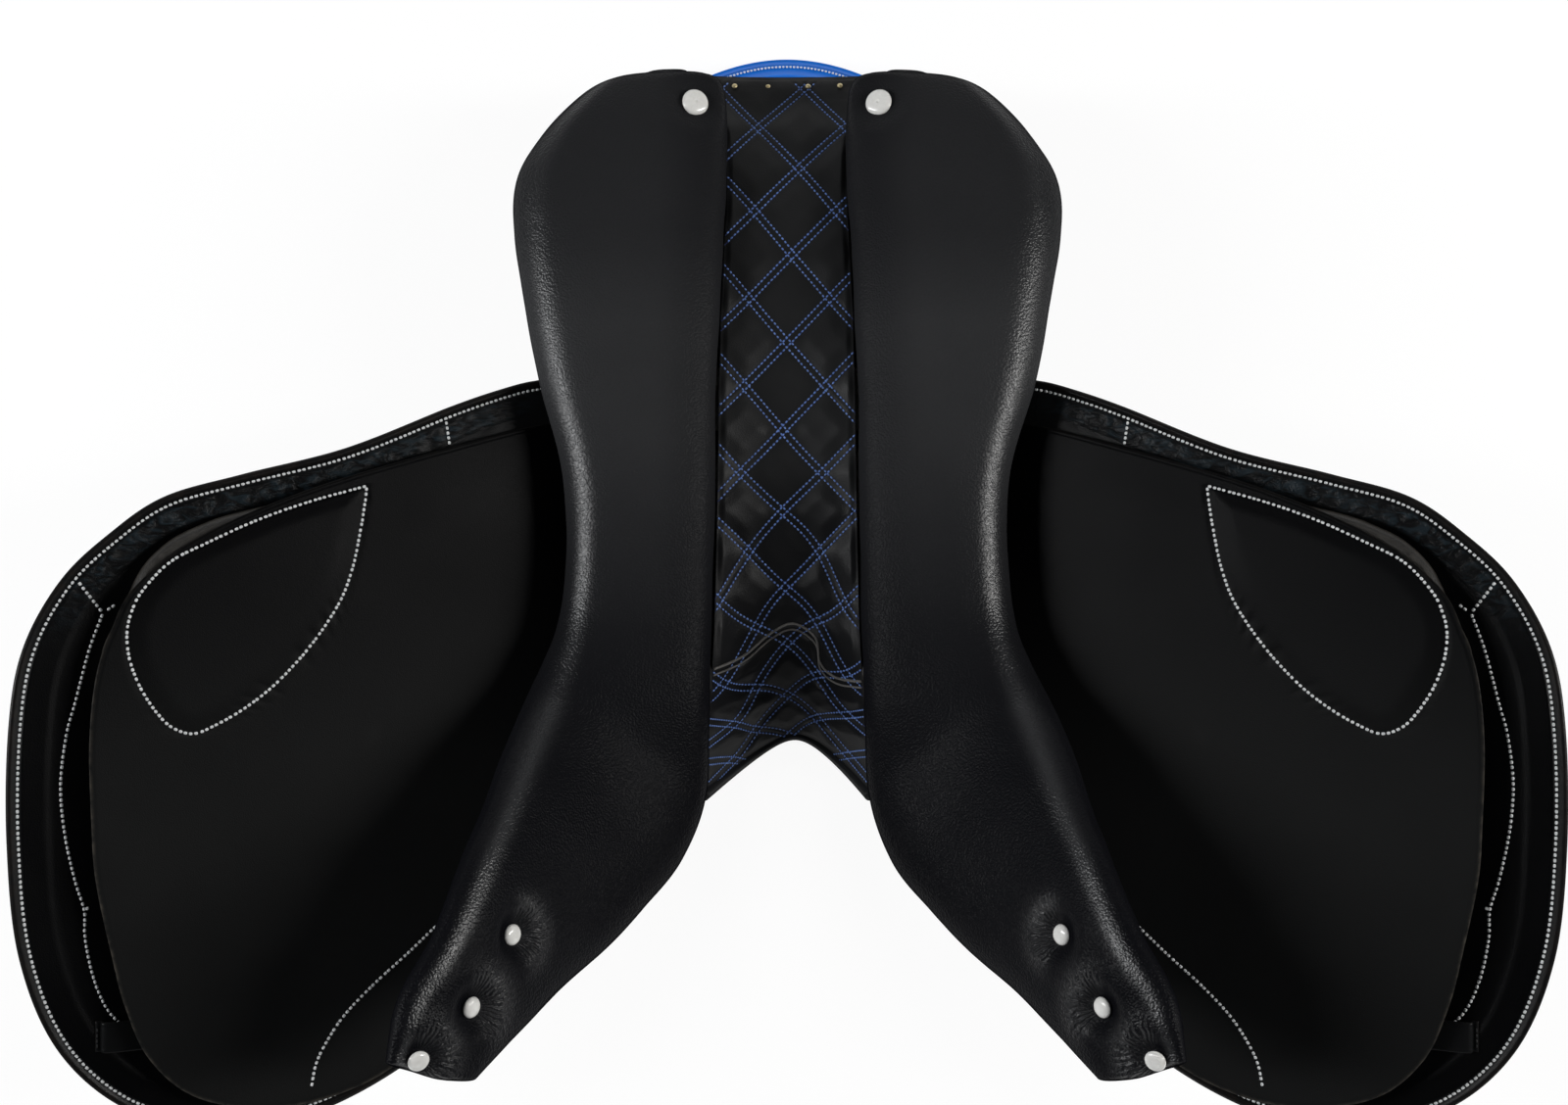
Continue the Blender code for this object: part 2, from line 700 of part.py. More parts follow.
def stud(name, place_and_axis, side, radius, holder):
    """A domed stud whose shank sits in a hole of the piece that holds it."""
    place, axis = mirrored([mm(*place_and_axis[0]), Vector(place_and_axis[1])], side)
    profile = [(0.0, STUD_DOME), (radius * 0.62, STUD_DOME * 0.78), (radius, 0.0), (STUD_SHANK_RADIUS, 0.0),
               (STUD_SHANK_RADIUS, -STUD_SHANK_LENGTH), (0.0, -STUD_SHANK_LENGTH)]
    made = turned(name, profile, place, axis, pearl_nickel(), 12)
    direction = Vector(axis).normalized()
    seat = cylinder(name + "_seat", radius + FIT_GAP, place - direction * FIT_GAP,
                    place + direction * STUD_HEAD_CLEAR, steel(), 12)
    bore_end = place - direction * (STUD_SHANK_LENGTH + FIT_GAP)
    bore = cylinder(name + "_bore", STUD_SHANK_RADIUS + FIT_GAP, bore_end, place, steel(), 10)
    combine(holder, seat, "DIFFERENCE")
    combine(holder, bore, "DIFFERENCE")
    return made


def lining_surface(u, v, depth, bellies):
    """A point of the lining: u from -1 to 1 across the channel, v from its front to its rear."""
    y, sweep, centre, edge = spline(LINING_ROWS, v)
    half = panel_wall_x((y - sweep) * MM, edge * MM - LINING_MIDDLE, bellies) - LINING_SIDE_GAP
    rise = centre + (edge - centre) * abs(u) ** LINING_CURVE
    return Vector((half * u, (y - sweep * u * u) * MM, rise * MM - depth))


def make_channel_lining(bellies):
    """The lining of the channel between the panels, down into the pommel arch."""
    grids = []
    for depth in (LINING_THICKNESS, 0.0):
        grids.append([[lining_surface(2 * j / LINING_COLUMNS - 1, i / LINING_LINES, depth, bellies)
                       for j in range(LINING_COLUMNS + 1)] for i in range(LINING_LINES + 1)])
    return add_object("channel_lining", layered("channel_lining", *grids), panel_leather())


def make_nail(index, u, bellies):
    """A small brass nail in the rear edge of the lining."""
    def spot(du, dv):
        return lining_surface(u + du, NAIL_LINE + dv, 0.0, bellies)
    out = (spot(0.05, 0) - spot(-0.05, 0)).cross(spot(0, 0.02) - spot(0, -0.02)).normalized()
    profile = [(0.0, NAIL_DOME), (NAIL_RADIUS * 0.7, NAIL_SHOULDER), (NAIL_RADIUS, 0.0), (0.0, 0.0)]
    return turned("channel_nail_" + str(index), profile, spot(0, 0) + out * NAIL_LIFT, out, brass(), 8)


def flap_height(x):
    run = abs(x) - FLAP_START_X
    return FLAP_START_Z + FLAP_SLOPE * run + FLAP_BOW * run * run


def sweat_height(x):
    run = abs(x) - SWEAT_START_X
    return SWEAT_START_Z + SWEAT_SLOPE * run + FLAP_BOW * run * run


def between(points, low_x, high_x):
    """An outline moved in so that it keeps between two X values in metres."""
    return [(min(max(x, low_x / MM), high_x / MM), y) for x, y in points]


def outline_with_straights(points, step):
    """A closed outline that is smooth, but straight where two points have the same X."""
    result = []
    count = len(points)
    for index in range(count):
        p1, p2 = Vector(points[index]), Vector(points[(index + 1) % count])
        pieces = max(1, round((p2 - p1).length / step))
        if same_x(p1, p2):
            result += [p1.lerp(p2, k / pieces) * MM for k in range(pieces)]
            continue
        p0, p3 = Vector(points[index - 1]), Vector(points[(index + 2) % count])
        if same_x(p0, p1):
            p0 = 2 * p1 - p2
        if same_x(p2, p3):
            p3 = 2 * p2 - p1
        for k in range(pieces):
            f = k / pieces
            result.append(0.5 * (2 * p1 + (p2 - p0) * f + (2 * p0 - 5 * p1 + 4 * p2 - p3) * f * f
                                 + (3 * p1 - p0 - 3 * p2 + p3) * f ** 3) * MM)
    return result


def same_x(a, b):
    return abs(a.x - b.x) < 0.01


def make_flaps(side):
    """The outer flap, its top part inside the bend, and the sweat flap over them."""
    prefix = side_name(side)
    outermost = 1.0
    outer = outline_with_straights(between(OUTER_FLAP, BEND_X + FIT_GAP / 2, outermost), FLAP_STEP)
    top = outline_with_straights(between(FLAP_TOP, 0.0, BEND_X - FIT_GAP / 2), FLAP_TOP_STEP)
    sweat = smooth_outline(between(SWEAT_FLAP, SWEAT_START_X, outermost), FLAP_STEP)
    add_flap(prefix + "_flap", outer, OUTER_FLAP_CENTRE, side, flap_height, FLAP_THICKNESS)
    add_flap(prefix + "_flap_top", top, FLAP_TOP_CENTRE, side, flap_height, FLAP_THICKNESS)
    add_flap(prefix + "_sweat_flap", sweat, SWEAT_FLAP_CENTRE, side, sweat_height, SWEAT_FLAP_THICKNESS)


def add_flap(name, outline, centre, side, middle, thickness):
    """A bent sheet of leather inside an outline, about its middle surface."""
    def low(x, y):
        return middle(x) - thickness / 2

    def high(x, y):
        return middle(x) + thickness / 2

    outline = mirrored(clear_of_seat(outline), side)
    centre = Vector((side * centre[0], centre[1])) * MM
    return add_object(name, bowed(name, outline, centre, low, high), flap_leather())


def block_low(x):
    return flap_height(x) + FLAP_THICKNESS / 2 + LAYER_GAP


def block_high(x):
    return sweat_height(x) - SWEAT_FLAP_THICKNESS / 2 - LAYER_GAP


def make_block(name, points, centre, side):
    """A block between the flaps, on the sweat flap's outer side."""
    outline = mirrored(smooth_outline(points, BLOCK_STEP), side)
    centre = Vector((side * centre[0], centre[1])) * MM
    reach = max((point - centre).length for point in outline)

    def low(x, y):
        edge = ((Vector((x, y)) - centre).length / reach) ** 4
        top, bottom = block_high(x), block_low(x) + BLOCK_GAP
        return bottom + (top - bottom) * BLOCK_EDGE * edge

    def high(x, y):
        return block_high(x)

    return add_object(name, bowed(name, outline, centre, low, high, (0.4, 0.75, 1.0)), strap_leather())


def make_billets(side):
    """Three girth straps that lie against the outer side of the sweat flap."""
    for index in range(3):
        start_y = BILLET_FIRST_Y - BILLET_SPACING * index
        rings = []
        for k in range(BILLET_SECTIONS):
            f = k / (BILLET_SECTIONS - 1)
            x = BEND_X + BILLET_START_GAP + (BILLET_REACH_X - BEND_X) * f
            y = start_y - BILLET_RAKE * f
            half = BILLET_WIDTH / 2 * (1.0 if f < 1 else BILLET_POINT)
            high = block_high(x)
            low = high - BILLET_THICKNESS
            ring = [(x, y - half, low), (x, y + half, low), (x, y + half, high), (x, y - half, high)]
            rings.append(mirrored(ring, side))
        name = side_name(side) + "_billet_" + str(index + 1)
        add_object(name, loft(name, rings), strap_leather(), smooth=False)


def seat_edge_x(y):
    """Where the seat's edge is at one Y."""
    rows = [((row[0] - row[2]) * MM, row[1] * MM) for row in SEAT_ROWS[3:14]]
    return row_at(rows, y)[1]


def clear_of_seat(outline):
    """An outline moved out to the edge of the seat, with a gap beside it."""
    return [Vector((max(point.x, seat_edge_x(point.y) + SEAT_SIDE_GAP), point.y)) for point in outline]


def skirt_height(x, y):
    """The skirt starts at the seat's edge, dips under the stirrup bar and rises along the flap."""
    run = abs(x) - seat_edge_x(y) - SEAT_SIDE_GAP
    edge = row_at([(row[0] - row[2], row[4]) for row in SEAT_ROWS[3:12]], y / MM)[1] * MM
    drop = (edge - SKIRT_BELOW_EDGE - SKIRT_FLOOR_Z) * math.exp(-max(run, 0.0) / SKIRT_SETTLE)
    beyond = max(0.0, abs(x) - SKIRT_RISE_FROM_X)
    return SKIRT_FLOOR_Z + drop + SKIRT_RISE * beyond * beyond


def make_skirt(side):
    """The small flap over the stirrup bar, which starts at the seat's edge."""
    def low(x, y):
        return skirt_height(x, y) - SKIRT_THICKNESS / 2

    def high(x, y):
        return skirt_height(x, y) + SKIRT_THICKNESS / 2

    outline = mirrored(clear_of_seat(smooth_outline(SKIRT, SKIRT_STEP)), side)
    centre = Vector((side * SKIRT_CENTRE[0], SKIRT_CENTRE[1])) * MM
    name = side_name(side) + "_skirt"
    mesh = bowed(name, outline, centre, low, high, (0.3, 0.6, 0.8, 0.92, 1.0))
    return add_object(name, mesh, seat_leather())


def upright(x, y, low, high):
    """The two ends of an upright pin or hole."""
    return (x, y, low), (x, y, high)


def make_stirrup_bar(side, tree):
    """A recessed bar on the tree's lug: plate, front arm, blade, two ears and the pin's holes."""
    prefix = side_name(side)
    plate_in = LUG_END_X + FIT_GAP
    plate_out = plate_in + BAR_PLATE_THICKNESS
    blade_in = plate_out + BAR_SLOT
    blade_out = blade_in + BAR_THICKNESS
    top = BAR_BOTTOM_Z + BAR_HEIGHT
    ear_top = top + EAR_ABOVE_BLADE
    ear_bottom = BAR_BOTTOM_Z - EAR_BELOW_BLADE
    catch_y = BAR_REAR_Y + FIT_GAP
    pin_x = side * (plate_out + CATCH_PIN_OUT)
    pin_y = catch_y + CATCH_PIN_OUT

    def bar_piece(name, x0, y0, z0, x1, y1, z1):
        return box(prefix + name, (side * x0, y0, z0), (side * x1, y1, z1), steel())

    bar = bar_piece("_stirrup_bar", plate_in, BAR_FRONT_Y, ear_bottom,
                    plate_out, catch_y + BAR_PLATE_TAIL, BAR_PLATE_TOP_Z)
    arm = bar_piece("_bar_arm", plate_out - BAR_JOIN, BAR_FRONT_Y, BAR_BOTTOM_Z,
                    blade_out, BAR_FRONT_Y + BAR_ARM_WIDTH, top)
    blade = bar_piece("_bar_blade", blade_in, BAR_FRONT_Y + BAR_JOIN, BAR_BOTTOM_Z,
                      blade_out, BAR_REAR_Y, top)
    low_ear = bar_piece("_bar_ear_low", plate_out - BAR_JOIN, catch_y, ear_bottom,
                        abs(pin_x) + EAR_ROUND_PIN, catch_y + EAR_LENGTH, ear_bottom + EAR_THICKNESS)
    high_ear = bar_piece("_bar_ear_high", plate_out - BAR_JOIN, catch_y, ear_top - EAR_THICKNESS,
                         abs(pin_x) + EAR_ROUND_PIN, catch_y + EAR_LENGTH, ear_top)
    for piece in (arm, blade, low_ear, high_ear):
        combine(bar, piece, "UNION")
    hole = cylinder(prefix + "_bar_pin_hole", CATCH_PIN_RADIUS + FIT_GAP,
                    *upright(pin_x, pin_y, ear_bottom - CUT_PAST, ear_top + CUT_PAST), steel(), 16)
    combine(bar, hole, "DIFFERENCE")
    cylinder(prefix + "_catch_pin", CATCH_PIN_RADIUS,
             *upright(pin_x, pin_y, ear_bottom - CATCH_PIN_PROUD, ear_top + CATCH_PIN_PROUD), steel(), 16)
    catch_low, catch_high = ear_bottom + EAR_THICKNESS + FIT_GAP, ear_top - EAR_THICKNESS - FIT_GAP
    make_catch(side, pin_x, pin_y, catch_low, catch_high, blade_out)
    for index, y in enumerate((BAR_FRONT_Y + RIVET_FRONT, BAR_REAR_Y - RIVET_REAR), 1):
        make_rivet(side, index, y, plate_out + RIVET_HEAD_GAP, bar, tree)


def make_catch(side, pin_x, pin_y, low, high, reach):
    """The hinged catch that closes the bar's slot: an eye round the pin and a tongue."""
    prefix = side_name(side)
    eye = cylinder(prefix + "_bar_catch", CATCH_EYE_RADIUS, *upright(pin_x, pin_y, low, high), steel(), 20)
    tongue = box(prefix + "_catch_tongue", (pin_x + side * BAR_JOIN, pin_y - CATCH_TONGUE_HALF, low),
                 (side * reach, pin_y + CATCH_TONGUE_HALF, high), steel())
    hole = cylinder(prefix + "_catch_hole", CATCH_PIN_RADIUS + FIT_GAP,
                    *upright(pin_x, pin_y, low - CUT_PAST, high + CUT_PAST), steel(), 16)
    combine(eye, tongue, "UNION")
    combine(eye, hole, "DIFFERENCE")


def make_rivet(side, index, y, head, bar, tree):
    """A rivet through the bar's plate into the lug, with its bore in both."""
    prefix = side_name(side)
    end = LUG_END_X - RIVET_DEPTH
    profile = [(RIVET_RADIUS * share, height) for share, height in RIVET_HEAD]
    profile += [(RIVET_RADIUS, end - head), (0.0, end - head)]
    place = Vector((side * head, y, LUG_Z))
    turned(f"{prefix}_bar_rivet_{index}", profile, place, (side, 0, 0), steel(), 16)
    start, stop = (side * (end - FIT_GAP), y, LUG_Z), (side * (head + CUT_PAST * 2), y, LUG_Z)
    for piece, name in ((bar, "bar"), (tree, "tree")):
        bore = cylinder(f"{prefix}_{name}_bore_{index}", RIVET_RADIUS + FIT_GAP, start, stop, steel(), 16)
        combine(piece, bore, "DIFFERENCE")


def make_flap_keeper(side):
    """A strap loop on the inner side of the outer flap."""
    name = side_name(side) + "_flap_keeper"
    under = [(along * KEEPER_HALF_LENGTH, up * KEEPER_LIFT) for along, up in KEEPER_PROFILE]
    over = [(along, up + KEEPER_THICKNESS) for along, up in under]
    rings = []
    for across in (-KEEPER_HALF_WIDTH, KEEPER_HALF_WIDTH):
        points = []
        for along, up in under + over[::-1]:
            x = KEEPER_X + along
            points.append((x, KEEPER_Y + across, flap_height(x) + FLAP_THICKNESS / 2 + LAYER_GAP + up))
        rings.append(mirrored(points, side))
    return add_object(name, loft(name, rings), strap_leather(), smooth=False)


def clear_scene():
    for made in list(bpy.data.objects):
        bpy.data.objects.remove(made, do_unlink=True)


def main():
    clear_scene()
    tree = make_seat()
    make_cantle_binding()
    bellies = panel_bellies()
    make_channel_lining(bellies)
    for index, u in enumerate(NAIL_PLACES, 1):
        make_nail(index, u, bellies)
    for side in (-1, 1):
        prefix = side_name(side)
        panel = make_panel(side, bellies)
        stud(prefix + "_rear_stud", REAR_STUD, side, REAR_STUD_RADIUS, panel)
        for index, leg_stud in enumerate(LEG_STUDS, 1):
            stud(prefix + "_leg_stud_" + str(index), leg_stud, side, LEG_STUD_RADIUS, panel)
        make_flaps(side)
        make_block(prefix + "_thigh_block", THIGH_BLOCK, THIGH_BLOCK_CENTRE, side)
        make_block(prefix + "_knee_block", KNEE_BLOCK, KNEE_BLOCK_CENTRE, side)
        make_billets(side)
        make_skirt(side)
        make_stirrup_bar(side, tree)
        make_flap_keeper(side)


main()
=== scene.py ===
# %% [markdown]
# Close contact saddle, lying upside down on its seat.
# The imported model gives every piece's place.  This lesson dresses it: stuffed panels, a quilted
# channel, stitched flaps and small metal parts, each made by short mesh code and node materials.

import json
import math

import bmesh
import bpy
import numpy as np
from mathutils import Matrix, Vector, noise
from mathutils.bvhtree import BVHTree


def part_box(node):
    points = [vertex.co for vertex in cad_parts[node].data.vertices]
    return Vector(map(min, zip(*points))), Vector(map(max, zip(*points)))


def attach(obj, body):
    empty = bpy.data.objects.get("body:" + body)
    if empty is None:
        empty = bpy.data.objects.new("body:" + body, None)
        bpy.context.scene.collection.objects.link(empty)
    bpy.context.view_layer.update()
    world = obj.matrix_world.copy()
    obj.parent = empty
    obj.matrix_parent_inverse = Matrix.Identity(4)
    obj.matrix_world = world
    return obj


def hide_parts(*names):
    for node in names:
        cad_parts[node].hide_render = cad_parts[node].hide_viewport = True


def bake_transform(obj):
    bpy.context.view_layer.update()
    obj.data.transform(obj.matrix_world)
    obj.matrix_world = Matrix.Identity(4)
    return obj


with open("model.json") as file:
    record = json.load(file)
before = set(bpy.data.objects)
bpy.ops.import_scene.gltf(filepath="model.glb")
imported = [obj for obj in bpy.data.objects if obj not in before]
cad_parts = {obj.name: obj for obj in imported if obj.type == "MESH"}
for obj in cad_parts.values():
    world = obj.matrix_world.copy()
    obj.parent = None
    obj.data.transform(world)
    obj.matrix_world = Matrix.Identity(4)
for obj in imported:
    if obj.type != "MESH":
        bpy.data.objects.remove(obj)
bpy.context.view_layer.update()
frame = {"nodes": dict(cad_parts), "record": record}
nodes = frame["nodes"]
MM = 0.001
SIDES = (("right", 1.0), ("left", -1.0))

# %% [markdown]
# The photograph looks straight down on the saddle.  A camera 1.35 m above the floor gives the same
# spread of near and far parts: the panels, which are closest, look largest.

# %% Camera
CAMERA_HEIGHT = 1.35
CAMERA_LENS = 44.595
CAMERA_SHIFT = -0.001875
SENSOR_WIDTH = 36.0

camera_data = bpy.data.cameras.new("camera")
camera_data.lens = CAMERA_LENS
camera_data.sensor_width = SENSOR_WIDTH
camera_data.shift_x = CAMERA_SHIFT
camera = bpy.data.objects.new("camera", camera_data)
camera.location = (0.0, 0.0, CAMERA_HEIGHT)
bpy.context.scene.collection.objects.link(camera)
bpy.context.scene.camera = camera
bpy.context.scene.view_settings.view_transform = "Standard"
print("camera:", CAMERA_HEIGHT, "m above the floor, lens", CAMERA_LENS, "mm")

# %% [markdown]
# Every finish is a network of nodes.  Each of them could be placed by hand in the editor, but short
# calls say the same in a few lines, and one network can then be built many times with other values.

# %% Nodes, by short calls
def new_material(name):
    """A material with its nodes, which are a Principled shader and the output."""
    made = bpy.data.materials.new(name)
    made.use_nodes = True
    return made, made.node_tree, made.node_tree.nodes["Principled BSDF"]


def node(tree, kind, values=None, **settings):
    """Adds one node, sets its properties and the plain values of its inputs."""
    made = tree.nodes.new(kind)
    for key, value in settings.items():
        setattr(made, key, value)
    for key, value in (values or {}).items():
        made.inputs[key].default_value = value
    return made


def join(tree, start, end):
    """Links an output socket to an input socket."""
    tree.links.new(start, end)


def product(tree, first, second):
    """Two numbers multiplied."""
    made = node(tree, "ShaderNodeMath", operation="MULTIPLY")
    join(tree, first, made.inputs[0])
    join(tree, second, made.inputs[1])
    return made.outputs[0]


def two_tones(tree, dark, light, share):
    """A colour between two tones."""
    tone = node(tree, "ShaderNodeMix", data_type="RGBA")
    tone.inputs["A"].default_value = (*dark, 1)
    tone.inputs["B"].default_value = (*light, 1)
    join(tree, share, tone.inputs["Factor"])
    return tone.outputs["Result"]


def laid_over(tree, below, colour, share):
    """A plain colour laid over another one by a share."""
    tone = node(tree, "ShaderNodeMix", data_type="RGBA")
    tone.inputs["B"].default_value = (*colour, 1)
    join(tree, below, tone.inputs["A"])
    join(tree, share, tone.inputs["Factor"])
    return tone.outputs["Result"]


def bumped(tree, height, distance, below=None, strength=1.0):
    """The surface's direction after a bump, on top of the bump below it if there is one."""
    bump = node(tree, "ShaderNodeBump", {"Strength": strength, "Distance": distance})
    join(tree, height, bump.inputs["Height"])
    if below is not None:
        join(tree, below, bump.inputs["Normal"])
    return bump.outputs["Normal"]


def mask_of(tree, name):
    """A mask that some meshes carry on their points; it is 0 on the others."""
    return node(tree, "ShaderNodeAttribute", attribute_name=name).outputs["Fac"]


print("materials so far:", len(bpy.data.materials))

# %% [markdown]
# The photograph's ground is pure white, with a faint shadow round the saddle.  A floor that only
# glows would lose the shadow, and one that is only lit would turn grey.  So this floor is mostly
# glow where the camera or a mirroring surface sees it, and the lit share keeps the shadow.

# %% Floor
FLOOR_HALF = 6.0
FLOOR_WHITE = 0.86
GLOW_SHARE = 0.86
GLOW_STRENGTH = 1.06

floor_mesh = bpy.data.meshes.new("floor")
floor_corners = [(-FLOOR_HALF, -FLOOR_HALF, 0), (FLOOR_HALF, -FLOOR_HALF, 0),
                 (FLOOR_HALF, FLOOR_HALF, 0), (-FLOOR_HALF, FLOOR_HALF, 0)]
floor_mesh.from_pydata(floor_corners, [], [(0, 1, 2, 3)])
floor = bpy.data.objects.new("floor", floor_mesh)
bpy.context.scene.collection.objects.link(floor)

floor_material, tree, shader = new_material("white_floor")
shader.inputs["Base Color"].default_value = (FLOOR_WHITE, FLOOR_WHITE, FLOOR_WHITE, 1)
shader.inputs["Roughness"].default_value = 0.9
seen = node(tree, "ShaderNodeLightPath")
camera_or_mirror = node(tree, "ShaderNodeMath", operation="ADD", use_clamp=True)
any_direct = node(tree, "ShaderNodeMath", operation="ADD", use_clamp=True)
white_share = node(tree, "ShaderNodeMath", operation="MULTIPLY")
white_share.inputs[1].default_value = GLOW_SHARE
glow = node(tree, "ShaderNodeEmission", {"Color": (1, 1, 1, 1), "Strength": GLOW_STRENGTH})
mixed = node(tree, "ShaderNodeMixShader")
join(tree, seen.outputs["Is Camera Ray"], camera_or_mirror.inputs[0])
join(tree, seen.outputs["Is Glossy Ray"], camera_or_mirror.inputs[1])
join(tree, camera_or_mirror.outputs[0], any_direct.inputs[0])
join(tree, seen.outputs["Is Transmission Ray"], any_direct.inputs[1])
join(tree, any_direct.outputs[0], white_share.inputs[0])
join(tree, white_share.outputs[0], mixed.inputs[0])
join(tree, shader.outputs[0], mixed.inputs[1])
join(tree, glow.outputs[0], mixed.inputs[2])
join(tree, mixed.outputs[0], tree.nodes["Material Output"].inputs["Surface"])
floor_mesh.materials.append(floor_material)
print("floor:", 2 * FLOOR_HALF, "m wide,", round(100 * GLOW_SHARE), "% glow")

# %% [markdown]
# Black leather shows its shape by what it mirrors.  Two long soft lamps, one at each side, draw the
# streaks on the panels' outer shoulders, and two weak ones fill the ends.  The sky is dark where
# the flat leather mirrors it, so that stays black, and paler near the horizon for the sides.

# %% World and lamps
SKY_COLOUR = (0.90, 0.95, 1.0, 1)
HORIZON_STRENGTH = 0.30
ZENITH_STRENGTH = 0.05
SADDLE_MIDDLE = (0.0, 0.05, 0.15)
WINDOW_POWER = 46
FILL_POWER = 4

world = bpy.data.worlds.new("studio")
bpy.context.scene.world = world
world.use_nodes = True
tree = world.node_tree
background = tree.nodes["Background"]
background.inputs["Color"].default_value = SKY_COLOUR
way = node(tree, "ShaderNodeTexCoord")
parts = node(tree, "ShaderNodeSeparateXYZ")
level = node(tree, "ShaderNodeMapRange",
             {"From Min": 0.05, "From Max": 0.5, "To Min": HORIZON_STRENGTH, "To Max": ZENITH_STRENGTH},
             interpolation_type="SMOOTHSTEP")
join(tree, way.outputs["Generated"], parts.inputs[0])
join(tree, parts.outputs["Z"], level.inputs["Value"])
join(tree, level.outputs["Result"], background.inputs["Strength"])


def soft_lamp(name, place, width, height, power, colour=(1, 1, 1)):
    """A rectangular lamp that faces the saddle."""
    data = bpy.data.lights.new(name, "AREA")
    data.shape = "RECTANGLE"
    data.size = width
    data.size_y = height
    data.energy = power
    data.color = colour
    made = bpy.data.objects.new(name, data)
    made.location = place
    made.rotation_mode = "QUATERNION"
    made.rotation_quaternion = (Vector(SADDLE_MIDDLE) - Vector(place)).to_track_quat("-Z", "Y")
    bpy.context.scene.collection.objects.link(made)


soft_lamp("right_window", (2.25, 0.15, 1.55), 0.32, 2.0, WINDOW_POWER, (1.0, 0.99, 0.97))
soft_lamp("left_window", (-2.25, 0.15, 1.55), 0.32, 2.0, WINDOW_POWER, (0.98, 0.99, 1.0))
soft_lamp("front_fill", (0.0, -2.2, 1.1), 2.4, 0.5, FILL_POWER)
soft_lamp("rear_fill", (0.0, 2.4, 1.1), 2.4, 0.5, FILL_POWER)

# %% [markdown]
# Most shapes below come from a table of sizes in millimetres and a smooth curve through its rows.
# They could be drawn by hand as curves, but numbers are easier to measure and to change.

# %% Curves and outlines
CURVE_STEPS = 24


def cubic_between(a, b, c, d, f):
    """A smooth curve from b to c at f from 0 to 1, where a comes before b, and d after c."""
    cubic = (3 * b - a - 3 * c + d) * f ** 3
    return 0.5 * (2 * b + (c - a) * f + (2 * a - 5 * b + 4 * c - d) * f * f + cubic)


def curve_through(rows, t):
    """Reads a smooth curve through rows of numbers at t, from 0 to 1."""
    rows = np.asarray(rows, float)
    padded = np.vstack([2 * rows[0] - rows[1], rows, 2 * rows[-1] - rows[-2]])
    place = np.clip(np.asarray(t, float), 0, 1) * (len(rows) - 1)
    index = np.minimum(place.astype(int), len(rows) - 2)
    a, b, c, d = (padded[index + k] for k in range(4))
    return cubic_between(a, b, c, d, (place - index)[..., None])


def run_along(path):
    """How far along a path each of its points is."""
    return np.concatenate([[0.0], np.cumsum(np.linalg.norm(np.diff(path, axis=0), axis=1))])


def even_steps(path, step, closed=False):
    """Points along a path, one about every step."""
    path = np.asarray(path, float)
    if closed:
        path = np.vstack([path, path[:1]])
    run = run_along(path)
    count = max(2, int(round(run[-1] / step)))
    places = np.linspace(0, run[-1], count + 1)
    if closed:
        places = places[:-1]
    return np.stack([np.interp(places, run, path[:, k]) for k in range(path.shape[1])], axis=1)


def closed_curve(points, step):
    """A smooth closed curve through points in millimetres, with even steps, in metres."""
    loop = np.asarray(points, float) * MM
    place = np.arange(len(loop) * CURVE_STEPS) / CURVE_STEPS
    index = place.astype(int)
    a, b, c, d = (loop[(index + k) % len(loop)] for k in (-1, 0, 1, 2))
    return even_steps(cubic_between(a, b, c, d, (place - index)[:, None]), step, closed=True)


def open_curve(points, step):
    """A smooth open curve through points in millimetres, with even steps, in metres."""
    dense = curve_through(np.asarray(points, float) * MM, np.linspace(0, 1, len(points) * CURVE_STEPS))
    return even_steps(dense, step)


print("a square with rounded corners has", len(closed_curve([(0, 0), (9, 0), (9, 9), (0, 9)], MM)), "points")

# %% [markdown]
# A piece is a mesh with its place in the model: the body it rides on, its material and the
# imported pieces it stands for.  One call sets all of them, so that none is forgotten.  Masks on the
# points tell a material where the leather is rubbed, creased or shaded.

# %% Meshes
def add_piece(name, points, faces, finish, body, replaces=(), masks=None):
    """A smooth mesh piece that rides on a body, with named masks on its points."""
    mesh = bpy.data.meshes.new(name)
    mesh.from_pydata(np.asarray(points, float).reshape(-1, 3).tolist(), [], faces)
    bm = bmesh.new()
    bm.from_mesh(mesh)
    bmesh.ops.recalc_face_normals(bm, faces=bm.faces)
    bm.to_mesh(mesh)
    bm.free()
    mesh.shade_smooth()
    for key, values in (masks or {}).items():
        layer = mesh.attributes.new(key, "FLOAT", "POINT")
        layer.data.foreach_set("value", np.asarray(values, np.float32).ravel())
    mesh.materials.append(finish)
    made = bpy.data.objects.new(name, mesh)
    bpy.context.scene.collection.objects.link(made)
    if body:
        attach(made, body)
    if replaces:
        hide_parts(*replaces)
    return made


def ring_faces(rows, columns):
    """Faces of a body through rings of points, with a middle point at each end."""
    faces = []
    first = rows * columns
    for j in range(columns):
        k = (j + 1) % columns
        faces.append((first, k, j))
        faces.append((first + 1, (rows - 1) * columns + j, (rows - 1) * columns + k))
    for i in range(rows - 1):
        a, b = i * columns, (i + 1) * columns
        faces += [(a + j, a + (j + 1) % columns, b + (j + 1) % columns, b + j) for j in range(columns)]
    return faces


def with_ends(grid):
    """The points of rings, followed by the middle of the first ring and of the last one."""
    grid = np.asarray(grid, float)
    flat = grid.reshape(-1, grid.shape[-1])
    return np.vstack([flat, grid[0].mean(axis=0), grid[-1].mean(axis=0)])


def mask_with_ends(values):
    """A mask's values on rings, followed by 0 for the middle of the first ring and of the last one."""
    return np.append(np.asarray(values).ravel(), [0, 0])


def mirrored(points, side):
    """Points moved to the other side of the middle plane when side is -1."""
    return np.asarray(points, float) * np.array([side, 1.0, 1.0])


